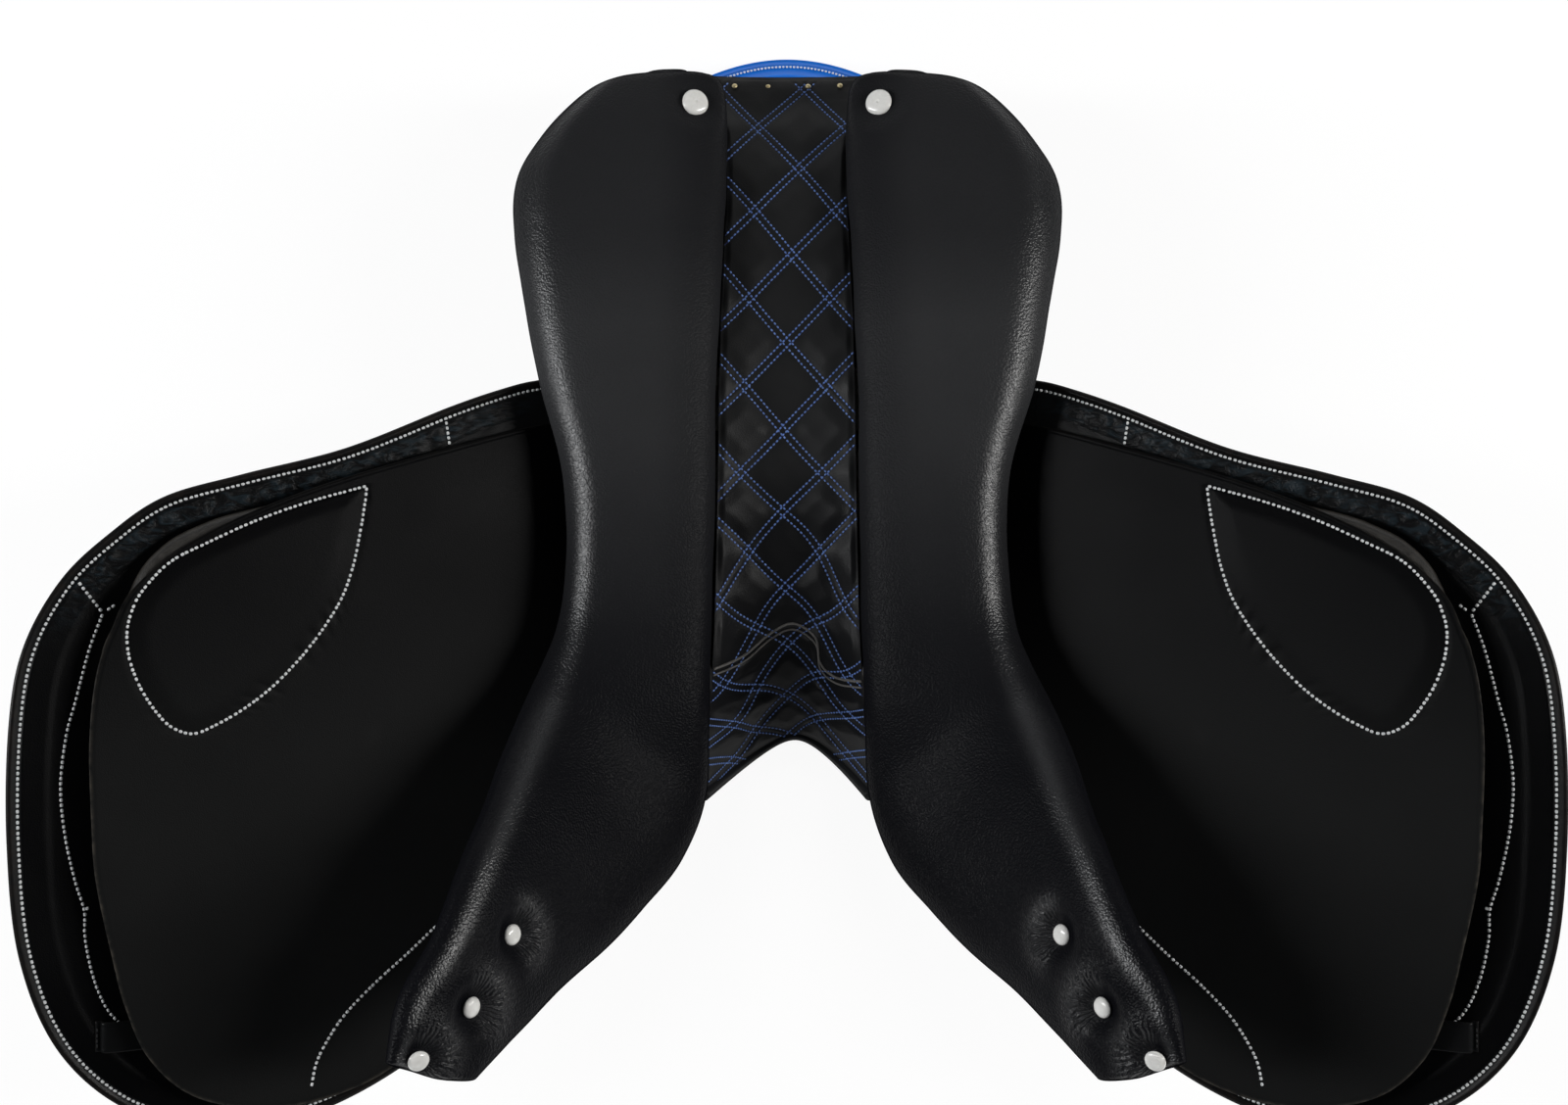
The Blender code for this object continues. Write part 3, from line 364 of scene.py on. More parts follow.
def ripple(points, scale, seed, strength):
    """Smooth random bumps at points, from minus to plus strength."""
    shift = Vector((seed * 7.13, seed * 3.7, seed * 1.9))
    flat = np.asarray(points, float).reshape(-1, 3)
    values = [noise.noise(Vector(p) * scale + shift) for p in flat]
    return np.array(values).reshape(np.asarray(points).shape[:-1]) * strength


def fade(values, start, end):
    """A smooth change from 0 at start to 1 at end."""
    t = np.clip((np.asarray(values, float) - start) / (end - start), 0, 1)
    return t * t * (3 - 2 * t)


print("a body of 3 rings of 4 points has", len(ring_faces(3, 4)), "faces")

# %% [markdown]
# Leather is one material made many ways.  Its grain is small pebbles with fine pores between them,
# it is lighter where it is rubbed, and where one looks along it the pores swallow its gloss.  The
# grain, the slow patches of tone and the rubbed edges are node groups, so that each leather only
# sets its own numbers.

# %% Shared effects
def new_group(name, inputs, outputs):
    """A node group with named float or vector sockets."""
    group = bpy.data.node_groups.new(name, "ShaderNodeTree")
    for key, kind, value in inputs:
        socket = group.interface.new_socket(key, in_out="INPUT", socket_type=kind)
        if value is not None:
            socket.default_value = value
    for key, kind in outputs:
        group.interface.new_socket(key, in_out="OUTPUT", socket_type=kind)
    start = group.nodes.new("NodeGroupInput")
    end = group.nodes.new("NodeGroupOutput")
    return group, start.outputs, end.inputs


FLOAT = "NodeSocketFloat"
VECTOR = "NodeSocketVector"

grain_group, given, result = new_group(
    "leather_grain",
    [("Vector", VECTOR, None), ("Scale", FLOAT, 900.0), ("Pore Depth", FLOAT, 0.35)],
    [("Height", FLOAT)])
bend = node(grain_group, "ShaderNodeTexNoise", {"Scale": 220.0, "Detail": 1.0})
bent = node(grain_group, "ShaderNodeVectorMath", operation="MULTIPLY_ADD")
bent.inputs[1].default_value = (0.0016, 0.0016, 0.0016)
pebbles = node(grain_group, "ShaderNodeTexVoronoi", {"Smoothness": 0.7, "Randomness": 0.9},
               feature="SMOOTH_F1")
pores = node(grain_group, "ShaderNodeTexNoise", {"Scale": 2600.0, "Detail": 2.0})
rounded = node(grain_group, "ShaderNodeMapRange",
               {"From Min": 0.15, "From Max": 0.75, "To Min": 1.0, "To Max": 0.0},
               interpolation_type="SMOOTHSTEP")
whole = node(grain_group, "ShaderNodeMath", operation="ADD")
join(grain_group, given["Vector"], bend.inputs["Vector"])
join(grain_group, bend.outputs["Color"], bent.inputs[0])
join(grain_group, given["Vector"], bent.inputs[2])
join(grain_group, bent.outputs[0], pebbles.inputs["Vector"])
join(grain_group, given["Scale"], pebbles.inputs["Scale"])
join(grain_group, given["Vector"], pores.inputs["Vector"])
join(grain_group, pebbles.outputs["Distance"], rounded.inputs["Value"])
join(grain_group, rounded.outputs["Result"], whole.inputs[0])
join(grain_group, product(grain_group, pores.outputs["Fac"], given["Pore Depth"]), whole.inputs[1])
join(grain_group, whole.outputs[0], result["Height"])

patch_group, given, result = new_group(
    "tone_patches", [("Vector", VECTOR, None), ("Scale", FLOAT, 12.0), ("Contrast", FLOAT, 0.5)],
    [("Patches", FLOAT)])
cloud = node(patch_group, "ShaderNodeTexNoise", {"Detail": 4.0, "Roughness": 0.55})
centred = node(patch_group, "ShaderNodeMath", operation="SUBTRACT")
centred.inputs[1].default_value = 0.5
lifted = node(patch_group, "ShaderNodeMath", operation="ADD", use_clamp=True)
lifted.inputs[1].default_value = 0.5
join(patch_group, given["Vector"], cloud.inputs["Vector"])
join(patch_group, given["Scale"], cloud.inputs["Scale"])
join(patch_group, cloud.outputs["Fac"], centred.inputs[0])
join(patch_group, product(patch_group, centred.outputs[0], given["Contrast"]), lifted.inputs[0])
join(patch_group, lifted.outputs[0], result["Patches"])

rub_group, given, result = new_group(
    "rubbed_edges", [("Mask", FLOAT, 0.0), ("Vector", VECTOR, None), ("Scale", FLOAT, 160.0)],
    [("Rubbed", FLOAT)])
scuffs = node(rub_group, "ShaderNodeTexNoise", {"Detail": 3.0, "Roughness": 0.6})
uneven = node(rub_group, "ShaderNodeMapRange", {"From Min": 0.35, "From Max": 0.65})
worn = node(rub_group, "ShaderNodeMath", operation="MULTIPLY", use_clamp=True)
join(rub_group, given["Vector"], scuffs.inputs["Vector"])
join(rub_group, given["Scale"], scuffs.inputs["Scale"])
join(rub_group, scuffs.outputs["Fac"], uneven.inputs["Value"])
join(rub_group, uneven.outputs["Result"], worn.inputs[0])
join(rub_group, given["Mask"], worn.inputs[1])
join(rub_group, worn.outputs[0], result["Rubbed"])
print("node groups:", [group.name for group in bpy.data.node_groups])

# %% [markdown]
# The saddle has several leathers.  Its panels are soft grained calf, its flaps smooth and nearly
# black, and its cantle is bound in shiny blue.  A painted picture could show each of them, but one
# function of a few numbers stays sharp at any distance, and its masks put wear, painted shade and
# painted highlights where they belong.

# %% Leathers
ROUGH_CHANGE = 0.08
FAN_FOLDS = 34.0
FAN_WANDER = 16.0


def use_group(tree, group, **values):
    """Places a node group in a material, with its own values."""
    made = tree.nodes.new("ShaderNodeGroup")
    made.node_tree = group
    for key, value in values.items():
        made.inputs[key.replace("_", " ")].default_value = value
    return made


def set_gloss(tree, shader, patches, roughness):
    """Lets the roughness change a little from patch to patch."""
    gloss = node(tree, "ShaderNodeMapRange",
                 {"To Min": roughness - ROUGH_CHANGE, "To Max": roughness + ROUGH_CHANGE})
    join(tree, patches.outputs["Patches"], gloss.inputs["Value"])
    join(tree, gloss.outputs["Result"], shader.inputs["Roughness"])


def set_shine(tree, shader, specular, unpolished):
    """Takes the shine away where one looks along the leather, and where it isn't polished."""
    facing = node(tree, "ShaderNodeLayerWeight", {"Blend": 0.5})
    mirror = node(tree, "ShaderNodeMapRange",
                  {"From Min": 0.32, "From Max": 0.72, "To Min": specular, "To Max": 0.0},
                  interpolation_type="SMOOTHSTEP")
    share = node(tree, "ShaderNodeMapRange", {"To Min": unpolished, "To Max": 1.0})
    join(tree, facing.outputs["Facing"], mirror.inputs["Value"])
    join(tree, mask_of(tree, "polish"), share.inputs["Value"])
    shine = product(tree, mirror.outputs["Result"], share.outputs["Result"])
    join(tree, shine, shader.inputs["Specular IOR Level"])


def add_creases(tree, place, tone, normal, depth, colour):
    """Long creases where the mask "creased" says so, with a painted highlight on their crests."""
    longer = node(tree, "ShaderNodeMapping")
    longer.inputs["Scale"].default_value = (0.55, 1.3, 1.0)
    creases = node(tree, "ShaderNodeTexNoise", {"Scale": 150.0, "Detail": 4.0, "Distortion": 1.0})
    crests = node(tree, "ShaderNodeMapRange", {"From Min": 0.47, "From Max": 0.62})
    join(tree, place, longer.inputs["Vector"])
    join(tree, longer.outputs[0], creases.inputs["Vector"])
    join(tree, creases.outputs["Fac"], crests.inputs["Value"])
    creased = mask_of(tree, "creased")
    normal = bumped(tree, product(tree, creases.outputs["Fac"], creased), depth, normal)
    return laid_over(tree, tone, colour, product(tree, crests.outputs["Result"], creased)), normal


def add_fans(tree, place, normal, depth):
    """Creases that spread from a stud, by the turn about it that the mask "fan" holds."""
    wander = node(tree, "ShaderNodeTexNoise", {"Scale": 95.0, "Detail": 2.0})
    strayed = node(tree, "ShaderNodeMath", operation="MULTIPLY")
    strayed.inputs[1].default_value = FAN_WANDER
    folds = node(tree, "ShaderNodeMath", operation="MULTIPLY_ADD")
    folds.inputs[1].default_value = FAN_FOLDS
    wave = node(tree, "ShaderNodeMath", operation="SINE")
    join(tree, place, wander.inputs["Vector"])
    join(tree, wander.outputs["Fac"], strayed.inputs[0])
    join(tree, mask_of(tree, "fan"), folds.inputs[0])
    join(tree, strayed.outputs[0], folds.inputs[2])
    join(tree, folds.outputs[0], wave.inputs[0])
    return bumped(tree, product(tree, wave.outputs[0], mask_of(tree, "creased")), depth, normal)


def leather(name, dark, light, roughness, grain_scale, grain_depth, patch_scale=14.0, specular=0.5,
            rubbed=(0.05, 0.048, 0.045), crease_depth=0.0, crest_painted_highlight=None, fan_depth=0.0,
            unpolished=1.0):
    """A leather: grain, slow patches of tone, rubbed edges, painted shade and, if asked, creases with
    painted highlights on their crests, or fans of creases.

    Where its mask "polish" is 0 it has only the unpolished share of its shine.
    """
    made, tree, shader = new_material(name)
    place = node(tree, "ShaderNodeTexCoord").outputs["Object"]
    grain = use_group(tree, grain_group, Scale=grain_scale, Pore_Depth=0.3)
    patches = use_group(tree, patch_group, Scale=patch_scale, Contrast=1.6)
    edges = use_group(tree, rub_group, Scale=180.0)
    for target in (grain, patches, edges):
        join(tree, place, target.inputs["Vector"])
    join(tree, mask_of(tree, "rim"), edges.inputs["Mask"])
    tone = two_tones(tree, dark, light, patches.outputs["Patches"])
    tone = laid_over(tree, tone, rubbed, edges.outputs["Rubbed"])
    # Painted shade: the mask "shade" darkens the tone towards a tenth of the dark one; on the panels,
    # lining, flaps and cantle it stands for shade.
    tone = laid_over(tree, tone, (dark[0] * 0.1, dark[1] * 0.1, dark[2] * 0.14), mask_of(tree, "shade"))
    normal = bumped(tree, grain.outputs["Height"], grain_depth)
    if crease_depth:
        tone, normal = add_creases(tree, place, tone, normal, crease_depth, crest_painted_highlight)
    if fan_depth:
        normal = add_fans(tree, place, normal, fan_depth)
    join(tree, tone, shader.inputs["Base Color"])
    join(tree, normal, shader.inputs["Normal"])
    set_gloss(tree, shader, patches, roughness)
    set_shine(tree, shader, specular, unpolished)
    return made


panel_leather = leather(
    "panel_calf", (0.0280, 0.0285, 0.0300), (0.0360, 0.0365, 0.0385), 0.33, 780.0, 0.00019,
    patch_scale=9.0, specular=0.60, fan_depth=0.0003, unpolished=0.06)
lining_leather = leather(
    "lining_nappa", (0.0165, 0.0167, 0.0172), (0.0235, 0.0238, 0.0246), 0.38, 1300.0, 0.00005,
    patch_scale=30.0, specular=0.11)
# The flap leather's crease colour is a painted highlight: a bluish grey on the crests of the facing's
# wrinkles.
flap_leather = leather(
    "flap_bridle_leather", (0.0045, 0.0047, 0.0050), (0.0080, 0.0083, 0.0088), 0.29, 1500.0, 0.00003,
    patch_scale=10.0, specular=0.09, rubbed=(0.012, 0.010, 0.009), crease_depth=0.0011,
    crest_painted_highlight=(0.014, 0.021, 0.026))
sweat_leather = leather(
    "sweat_flap_leather", (0.0095, 0.0097, 0.0097), (0.0135, 0.0138, 0.0138), 0.33, 1700.0, 0.00003,
    patch_scale=8.0, specular=0.03, rubbed=(0.05, 0.045, 0.038))
block_leather = leather(
    "block_leather", (0.012, 0.011, 0.010), (0.045, 0.041, 0.036), 0.5, 900.0, 0.00012,
    patch_scale=160.0, specular=0.35)
seat_leather = leather(
    "seat_calf", (0.006, 0.006, 0.007), (0.011, 0.011, 0.012), 0.5, 1000.0, 0.00009, specular=0.25)
strap_leather = leather(
    "strap_leather", (0.008, 0.007, 0.006), (0.016, 0.013, 0.011), 0.45, 1400.0, 0.00005, specular=0.35)
blue_leather = leather(
    "blue_patent", (0.012, 0.17, 0.78), (0.020, 0.23, 0.92), 0.32, 1500.0, 0.00003, specular=0.4,
    rubbed=(0.05, 0.26, 0.92))
print("the panels' leather has", len(panel_leather.node_tree.nodes), "nodes")

# %% [markdown]
# The other stuffs need less.  Waxed thread is two tones with a fine twist, and steel, brass, foam,
# webbing and wood are two tones in a pattern that is stretched the way each was brushed, cast,
# woven or cut.  So two more functions are enough for all of them.

# %% Threads, foam, webbing, wood and metal
def thread(name, colour, shade):
    """Waxed thread: two tones, twisted fine."""
    made, tree, shader = new_material(name)
    place = node(tree, "ShaderNodeTexCoord")
    twist = node(tree, "ShaderNodeTexWave", {"Scale": 900.0, "Distortion": 2.0},
                 bands_direction="DIAGONAL")
    join(tree, place.outputs["Object"], twist.inputs["Vector"])
    tone = two_tones(tree, shade, colour, twist.outputs["Fac"])
    normal = bumped(tree, twist.outputs["Fac"], 0.00012, strength=0.6)
    join(tree, tone, shader.inputs["Base Color"])
    join(tree, normal, shader.inputs["Normal"])
    shader.inputs["Roughness"].default_value = 0.6
    return made


white_thread = thread("white_thread", (0.92, 0.93, 0.93), (0.74, 0.76, 0.77))
blue_thread = thread("blue_thread", (0.26, 0.42, 0.86), (0.10, 0.20, 0.58))
deep_blue_thread = thread("deep_blue_thread", (0.012, 0.03, 0.16), (0.006, 0.014, 0.08))
black_thread = thread("black_thread", (0.02, 0.02, 0.021), (0.008, 0.008, 0.009))
# The piping is real cord, but its pale grey is painted highlight along the fold's ridge.
piping_cord_painted_highlight = thread("piping_cord_painted_highlight", (0.20, 0.19, 0.18), (0.07, 0.066, 0.06))


def plain_finish(name, dark, light, roughness, scale, depth, metallic=0.0, stretch=(1, 1, 1), coat=0.0):
    """A finish of two tones with a stretched fine pattern: brushed steel, foam, wood or webbing."""
    made, tree, shader = new_material(name)
    place = node(tree, "ShaderNodeTexCoord").outputs["Object"]
    turned = node(tree, "ShaderNodeMapping")
    turned.inputs["Scale"].default_value = stretch
    lines = node(tree, "ShaderNodeTexNoise", {"Scale": scale, "Detail": 5.0, "Roughness": 0.6})
    patches = use_group(tree, patch_group, Scale=40.0, Contrast=1.4)
    join(tree, place, turned.inputs["Vector"])
    join(tree, turned.outputs[0], lines.inputs["Vector"])
    join(tree, place, patches.inputs["Vector"])
    join(tree, two_tones(tree, dark, light, lines.outputs["Fac"]), shader.inputs["Base Color"])
    join(tree, bumped(tree, lines.outputs["Fac"], depth), shader.inputs["Normal"])
    set_gloss(tree, shader, patches, roughness)
    shader.inputs["Metallic"].default_value = metallic
    shader.inputs["Coat Weight"].default_value = coat
    return made


steel = plain_finish("forged_steel", (0.42, 0.43, 0.44), (0.62, 0.63, 0.64), 0.3, 700.0, 0.00004,
                     metallic=1.0, stretch=(1, 8, 1))
brass = plain_finish("brass_nail", (0.80, 0.62, 0.30), (0.98, 0.86, 0.52), 0.30, 500.0, 0.00002,
                     metallic=0.5)
pearl = plain_finish("pearl_nickel", (0.78, 0.77, 0.73), (0.95, 0.94, 0.91), 0.28, 420.0, 0.00006,
                     coat=0.6)
foam = plain_finish("latex_foam", (0.020, 0.020, 0.022), (0.045, 0.045, 0.048), 0.85, 900.0, 0.0003)
webbing = plain_finish("nylon_web", (0.62, 0.61, 0.55), (0.80, 0.79, 0.73), 0.8, 600.0, 0.0002,
                       stretch=(6, 1, 1))
wood = plain_finish("laminated_beech", (0.020, 0.014, 0.010), (0.046, 0.032, 0.022), 0.45, 120.0, 0.0001,
                    stretch=(6, 0.6, 6), coat=0.4)
print("materials:", len(bpy.data.materials))

# %% [markdown]
# The panels are leather bags stuffed with wool.  A cloth simulation could swell them, but their
# crowned section is known at each station, so a loft through rounded sections gives the same
# swelling, and the studs can press exact dimples with their fans of creases into it.

# %% Sections of a panel
PANEL_STATIONS = np.array([
    (64, 307, 105, 90, 306, 106, 7, 14.0), (50, 304, 105, 112, 301, 107, 12, 26.0),
    (41, 297, 106, 131, 290, 110, 17, 36.0), (38, 272, 110, 153, 266, 117, 22, 37.3),
    (38, 234, 120, 170, 234, 126, 22, 31.4), (40, 199, 127, 171, 199, 134, 24, 27.5),
    (42, 152, 135, 163, 152, 142, 23, 24.0), (44, 104, 138, 153, 104, 148, 22, 21.5),
    (45, 47, 139, 138, 47, 150, 23, 20.7), (46, 0, 140, 136, 0, 151, 23, 25.7),
    (47, -48, 141, 141, -42, 155, 24, 30.0), (49, -98, 142, 148, -66, 166, 24, 30.0),
    (53, -150, 136, 156, -88, 182, 23, 22.0), (68, -192, 152, 161, -104, 202, 20, 19.0),
    (90, -217, 178, 166, -125, 226, 17, 18.0), (110, -236, 200, 171, -147, 248, 15, 17.0),
    (127, -248, 219, 177, -168, 270, 14, 16.0), (144, -262, 240, 189, -206, 296, 13, 15.0),
    (157, -274, 258, 206, -238, 312, 12, 13.0), (172, -289, 282, 212, -270, 317, 9, 9.0)], float)
PANEL_WALL_STATIONS = 13
PANEL_EDGE_ROUND = 0.62
PANEL_OUTER_EDGE_ROUND = 0.78
PANEL_CROWN_ROUND = 0.72
PANEL_OUTER_CROWN_ROUND = 0.95
PANEL_BELLY_ROUND = 0.8
PANEL_ROWS = 300
PANEL_RING = 144
REAR_CAP = 0.003
TIP_CAP = 0.005
CAP_ROWS = 9
CAP_TURN = 0.96


def panel_grid():
    """The right panel before any stud pulls it in: rings of points from its rear to its tip."""
    t = np.linspace(0, 1, PANEL_ROWS)
    rows = curve_through(PANEL_STATIONS, t)
    inner, outer = rows[:, 0:3] * MM, rows[:, 3:6] * MM
    crown, belly = rows[:, 6] * MM, rows[:, 7] * MM
    centre = (inner + outer) / 2
    width = outer - inner
    path = np.gradient(centre, axis=0)
    path /= np.linalg.norm(path, axis=1)[:, None]
    normal = np.cross(width, path)
    normal /= np.linalg.norm(normal, axis=1)[:, None]
    normal *= np.sign(normal[:, 2:3])
    angle = np.linspace(0, 2 * np.pi, PANEL_RING, endpoint=False)
    c, s = np.cos(angle), np.sin(angle)
    edge_round = np.where((c > 0) & (s > 0), PANEL_OUTER_EDGE_ROUND, PANEL_EDGE_ROUND)
    along = np.sign(c) * np.abs(c) ** edge_round
    crown_round = np.where(c > 0, PANEL_OUTER_CROWN_ROUND, PANEL_CROWN_ROUND)
    up = np.where(s > 0, np.abs(s) ** crown_round, 0.0)
    down = np.where(s > 0, 0.0, np.abs(s) ** PANEL_BELLY_ROUND)
    height = crown[:, None] * up[None, :] - belly[:, None] * down[None, :]
    grid = centre[:, None, :] + width[:, None, :] * (along / 2)[None, :, None]
    grid = grid + normal[:, None, :] * height[:, :, None]
    return capped(grid, path)


def capped(grid, path):
    """Rounds both ends of a body of rings off to a small middle."""
    turns = np.linspace(0, CAP_TURN, CAP_ROWS + 1)[1:] * np.pi / 2
    ends = []
    for ring, direction, reach in ((grid[0], -path[0], REAR_CAP), (grid[-1], path[-1], TIP_CAP)):
        middle = ring.mean(axis=0)
        ends.append([middle + (ring - middle) * math.cos(a) + direction * reach * math.sin(a)
                     for a in turns])
    return np.concatenate([np.array(ends[0][::-1]), grid, np.array(ends[1])])


print("a panel before its dimples:", panel_grid().shape)

# %% [markdown]
# A stud is pulled down through the stuffing, so the leather sinks round it, swells a little further
# out and folds in a fan towards the channel.  Sculpting could do this by eye.  Here the depth is
# measured by a ray from the stud to the leather, so each dimple ends just where its stud sits.

# %% Dimples and gloss
STUDS = {
    "rear_stud": ((58, 284, 124), (-0.35, 0.1, 1.0), 8.5),
    "leg_stud_1": ((154, -214, 263), (-0.78, 0.02, 0.62), 6.0),
    "leg_stud_2": ((173, -249, 287), (-0.79, -0.10, 0.60), 6.0),
    "leg_stud_3": ((197.3, -272, 310.5), (-0.45, -0.30, 0.84), 6.0),
}
REAR_DIMPLE = 0.0085
LEG_DIMPLE = 0.0065
SWELL_HEIGHT = 0.0009
SWELL_AT = 14
SWELL_WIDTH = 7
FAN_START = 9.0
FAN_WIDTH = 9.0
POLISH_WIDTH = 0.10


def polished(grid):
    """How polished the leather is: most along the outer shoulder, from the middle to the tip."""
    angle = np.linspace(0, 2 * np.pi, PANEL_RING, endpoint=False)
    c, upper = np.cos(angle), np.sin(angle) > 0
    y = grid.mean(axis=1)[:, 1]
    place = 0.70 + 0.09 * fade(-y, 0.06, 0.15)
    band = np.exp(-((c[None, :] - place[:, None]) / POLISH_WIDTH) ** 2) * upper
    return band * (0.4 + 0.6 * fade(-y, -0.21, -0.13))[:, None]


def surface_of(grid):
    """A tree for finding places on a grid of rings."""
    rows, columns = grid.shape[:2]
    flat = with_ends(grid)
    return BVHTree.FromPolygons([tuple(p) for p in flat], ring_faces(rows, columns))


def outward(grid):
    """Directions square to a grid of rings, pointing out of the body."""
    across = np.roll(grid, -1, axis=1) - np.roll(grid, 1, axis=1)
    ahead = np.gradient(grid, axis=0)
    square = np.cross(across, ahead)
    square /= np.maximum(np.linalg.norm(square, axis=2), 1e-12)[..., None]
    middle = grid.mean(axis=1, keepdims=True)
    sign = np.sign(((grid - middle) * square).sum(axis=2).mean())
    return square * sign


def pull_in(grid, place, axis, radius, reach):
    """Presses a dimple round a stud; also gives the turn about the stud and how creased it is."""
    place = np.array(place) * MM
    axis = np.array(axis) / np.linalg.norm(axis)
    hit = surface_of(grid).ray_cast(Vector(place + axis * 0.03), Vector(-axis))[0]
    depth = float((np.array(hit) - place) @ axis) + 0.0004
    away = grid - place
    height = away @ axis
    flat = away - height[..., None] * axis
    distance = np.linalg.norm(flat, axis=2)
    level = np.exp(-(np.maximum(distance - radius * MM, 0) / reach) ** 1.5)
    near = height > -0.012
    inward = np.array([-1.0, 0.1, 0.0])
    inward -= axis * (axis @ inward)
    inward /= np.linalg.norm(inward)
    turn = np.arctan2(flat @ np.cross(axis, inward), flat @ inward)
    ring = np.exp(-((distance / MM - radius - FAN_START) / FAN_WIDTH) ** 2)
    ring = ring * fade(np.cos(turn), -0.1, 0.7)
    swell = SWELL_HEIGHT * np.exp(-((distance / MM - radius - SWELL_AT) / SWELL_WIDTH) ** 2)
    return grid + axis * ((swell - depth * level) * near)[..., None], turn, ring * near


print("studs to press in:", list(STUDS))

# %% [markdown]
# Stuffed by hand, a panel is never quite even, so slow random bumps come before the dimples.  The
# photograph's panels are paler at their middle than at their legs and next to the channel.  A lamp
# could darken these parts, but it would darken their neighbours too, so painted shade in the
# leather's colour does it, by a mask.

# %% Panels
PAINTED_SHADE_AT = (-0.30, -0.15, -0.08, -0.047, 0.02, 0.07, 0.14, 0.20, 0.30)
PAINTED_SHADE_BY = (0.93, 0.90, 0.80, 0.70, 0.35, 0.05, 0.0, 0.30, 0.40)
INNER_SIDE = (0.085, 0.048)
INNER_PAINTED_SHADE = 0.38
CREASE_POLISH = 0.5


def make_panel(side_name, side):
    """One stuffed panel, with its dimples."""
    grid = panel_grid()
    polish = polished(grid)
    soft = ripple(grid, 14.0, 1.0 + side, 0.0012) + ripple(grid, 40.0, 4.0, 0.0004)
    grid = grid + outward(grid) * soft[..., None]
    creased = np.zeros(grid.shape[:2])
    fan = np.zeros(grid.shape[:2])
    for name, (place, axis, radius) in STUDS.items():
        reach = REAR_DIMPLE if name == "rear_stud" else LEG_DIMPLE
        grid, turn, ring = pull_in(grid, place, axis, radius, reach)
        if name != "rear_stud":
            fan = np.where(ring > creased, turn, fan)
            creased = np.maximum(creased, ring)
    flat = with_ends(grid)
    polish = np.maximum(polish, creased * CREASE_POLISH)
    # Painted shade: the leather is darkened on the legs, at the rear and on the inner side next to the
    # channel, least at the middle.
    painted_shade = np.interp(grid[..., 1], PAINTED_SHADE_AT, PAINTED_SHADE_BY)
    painted_shade = 1 - (1 - painted_shade) * (1 - INNER_PAINTED_SHADE * fade(grid[..., 0], *INNER_SIDE))
    masks = {"creased": creased, "fan": fan, "polish": polish, "shade": painted_shade}
    masks = {key: mask_with_ends(values) for key, values in masks.items()}
    made = add_piece(side_name + "_stuffed_panel", mirrored(flat, side), ring_faces(*grid.shape[:2]),
                     panel_leather, "root", [side_name + "_panel"], masks)
    return made


panels = {name: make_panel(name, side) for name, side in SIDES}
print("panels:", [len(p.data.vertices) for p in panels.values()], "points")

# %% [markdown]
# The studs that hold the panels are domed discs on a shank, and four small nails hold the lining's
# rear edge.  Such parts are turned or pressed round, so here a profile is turned round their axis.
# A cylinder with soft edges would be quicker, but it has neither the dome nor the rolled edge.

# %% Studs and nails
def lathe(name, profile, place, axis, finish, replaced, segments=40):
    """A turned piece from a profile of radius and height, in millimetres."""
    profile = np.asarray(profile, float) * MM
    axis = Vector(axis).normalized()
    turn = axis.to_track_quat("Z", "Y").to_matrix()
    rings = []
    a = np.linspace(0, 2 * np.pi, segments, endpoint=False)
    for radius, height in profile:
        ring = np.stack([radius * np.cos(a), radius * np.sin(a), np.full(segments, height)], axis=1)
        rings.append(ring @ np.array(turn).T + np.array(place))
    flat = with_ends(np.array(rings))
    return add_piece(name, flat, ring_faces(len(profile), segments), finish, "root", [replaced])


STUD_HEAD = [(0.35, 2.95), (0.62, 2.7), (0.82, 2.2), (0.93, 1.5), (1.0, 0.7), (0.98, 0.2), (0.9, 0.0)]
STUD_SHANK = [(2.4, -0.1), (2.4, -7.0), (0.3, -7.6)]
PLAIN_MIDDLE = [(0.05, 3.0)]
DENTED_MIDDLE = [(0.02, 2.1), (0.06, 2.25), (0.10, 2.7), (0.14, 2.92), (0.20, 2.97)]


def stud_profile(radius, middle):
    """From the middle of a stud's head over its rolled edge and down its shank."""
    return [(r * radius, h) for r, h in middle + STUD_HEAD] + STUD_SHANK


for side_name, side in SIDES:
    for name, (place, axis, radius) in STUDS.items():
        spot = mirrored(np.array(place) * MM, side)
        profile = stud_profile(radius, DENTED_MIDDLE if name == "rear_stud" else PLAIN_MIDDLE)
        lathe(side_name + "_" + name + "_turned", profile, spot, mirrored(axis, side), pearl,
              side_name + "_" + name)

NAIL_PROFILE = [(0.05, 1.5), (0.8, 1.35), (1.5, 0.8), (1.9, 0.1), (1.8, -0.2), (0.6, -0.3), (0.5, -1.4),
                (0.05, -1.5)]
NAIL_LIFT = 0.0009
NAIL_AXIS = (0.0, 0.6, 0.8)
NAIL_X = (-0.0345, -0.0125, 0.0140, 0.0350)
for number, x in enumerate(NAIL_X, 1):
    nail = "channel_nail_%d" % number
    low, high = (np.array(corner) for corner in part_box(nail))
    place = (low + high) / 2 * np.array([0, 1, 1]) + np.array([x, 0, 0]) + np.array(NAIL_AXIS) * NAIL_LIFT
    lathe("brass_nail_%d" % number, NAIL_PROFILE, place, NAIL_AXIS, brass, nail, 24)
print("turned:", 2 * len(STUDS), "studs and", len(NAIL_X), "nails")

# %% [markdown]
# The channel between the panels has a quilted lining: soft leather over thin foam, sewn in
# diamonds with double rows of blue thread.  The diamonds are two families of lines in a slightly
# bent lattice, which slumps over the pommel.  A cloth simulation would slump somewhere else each
# time, so the slump is known at some crossings and blended smoothly between them.

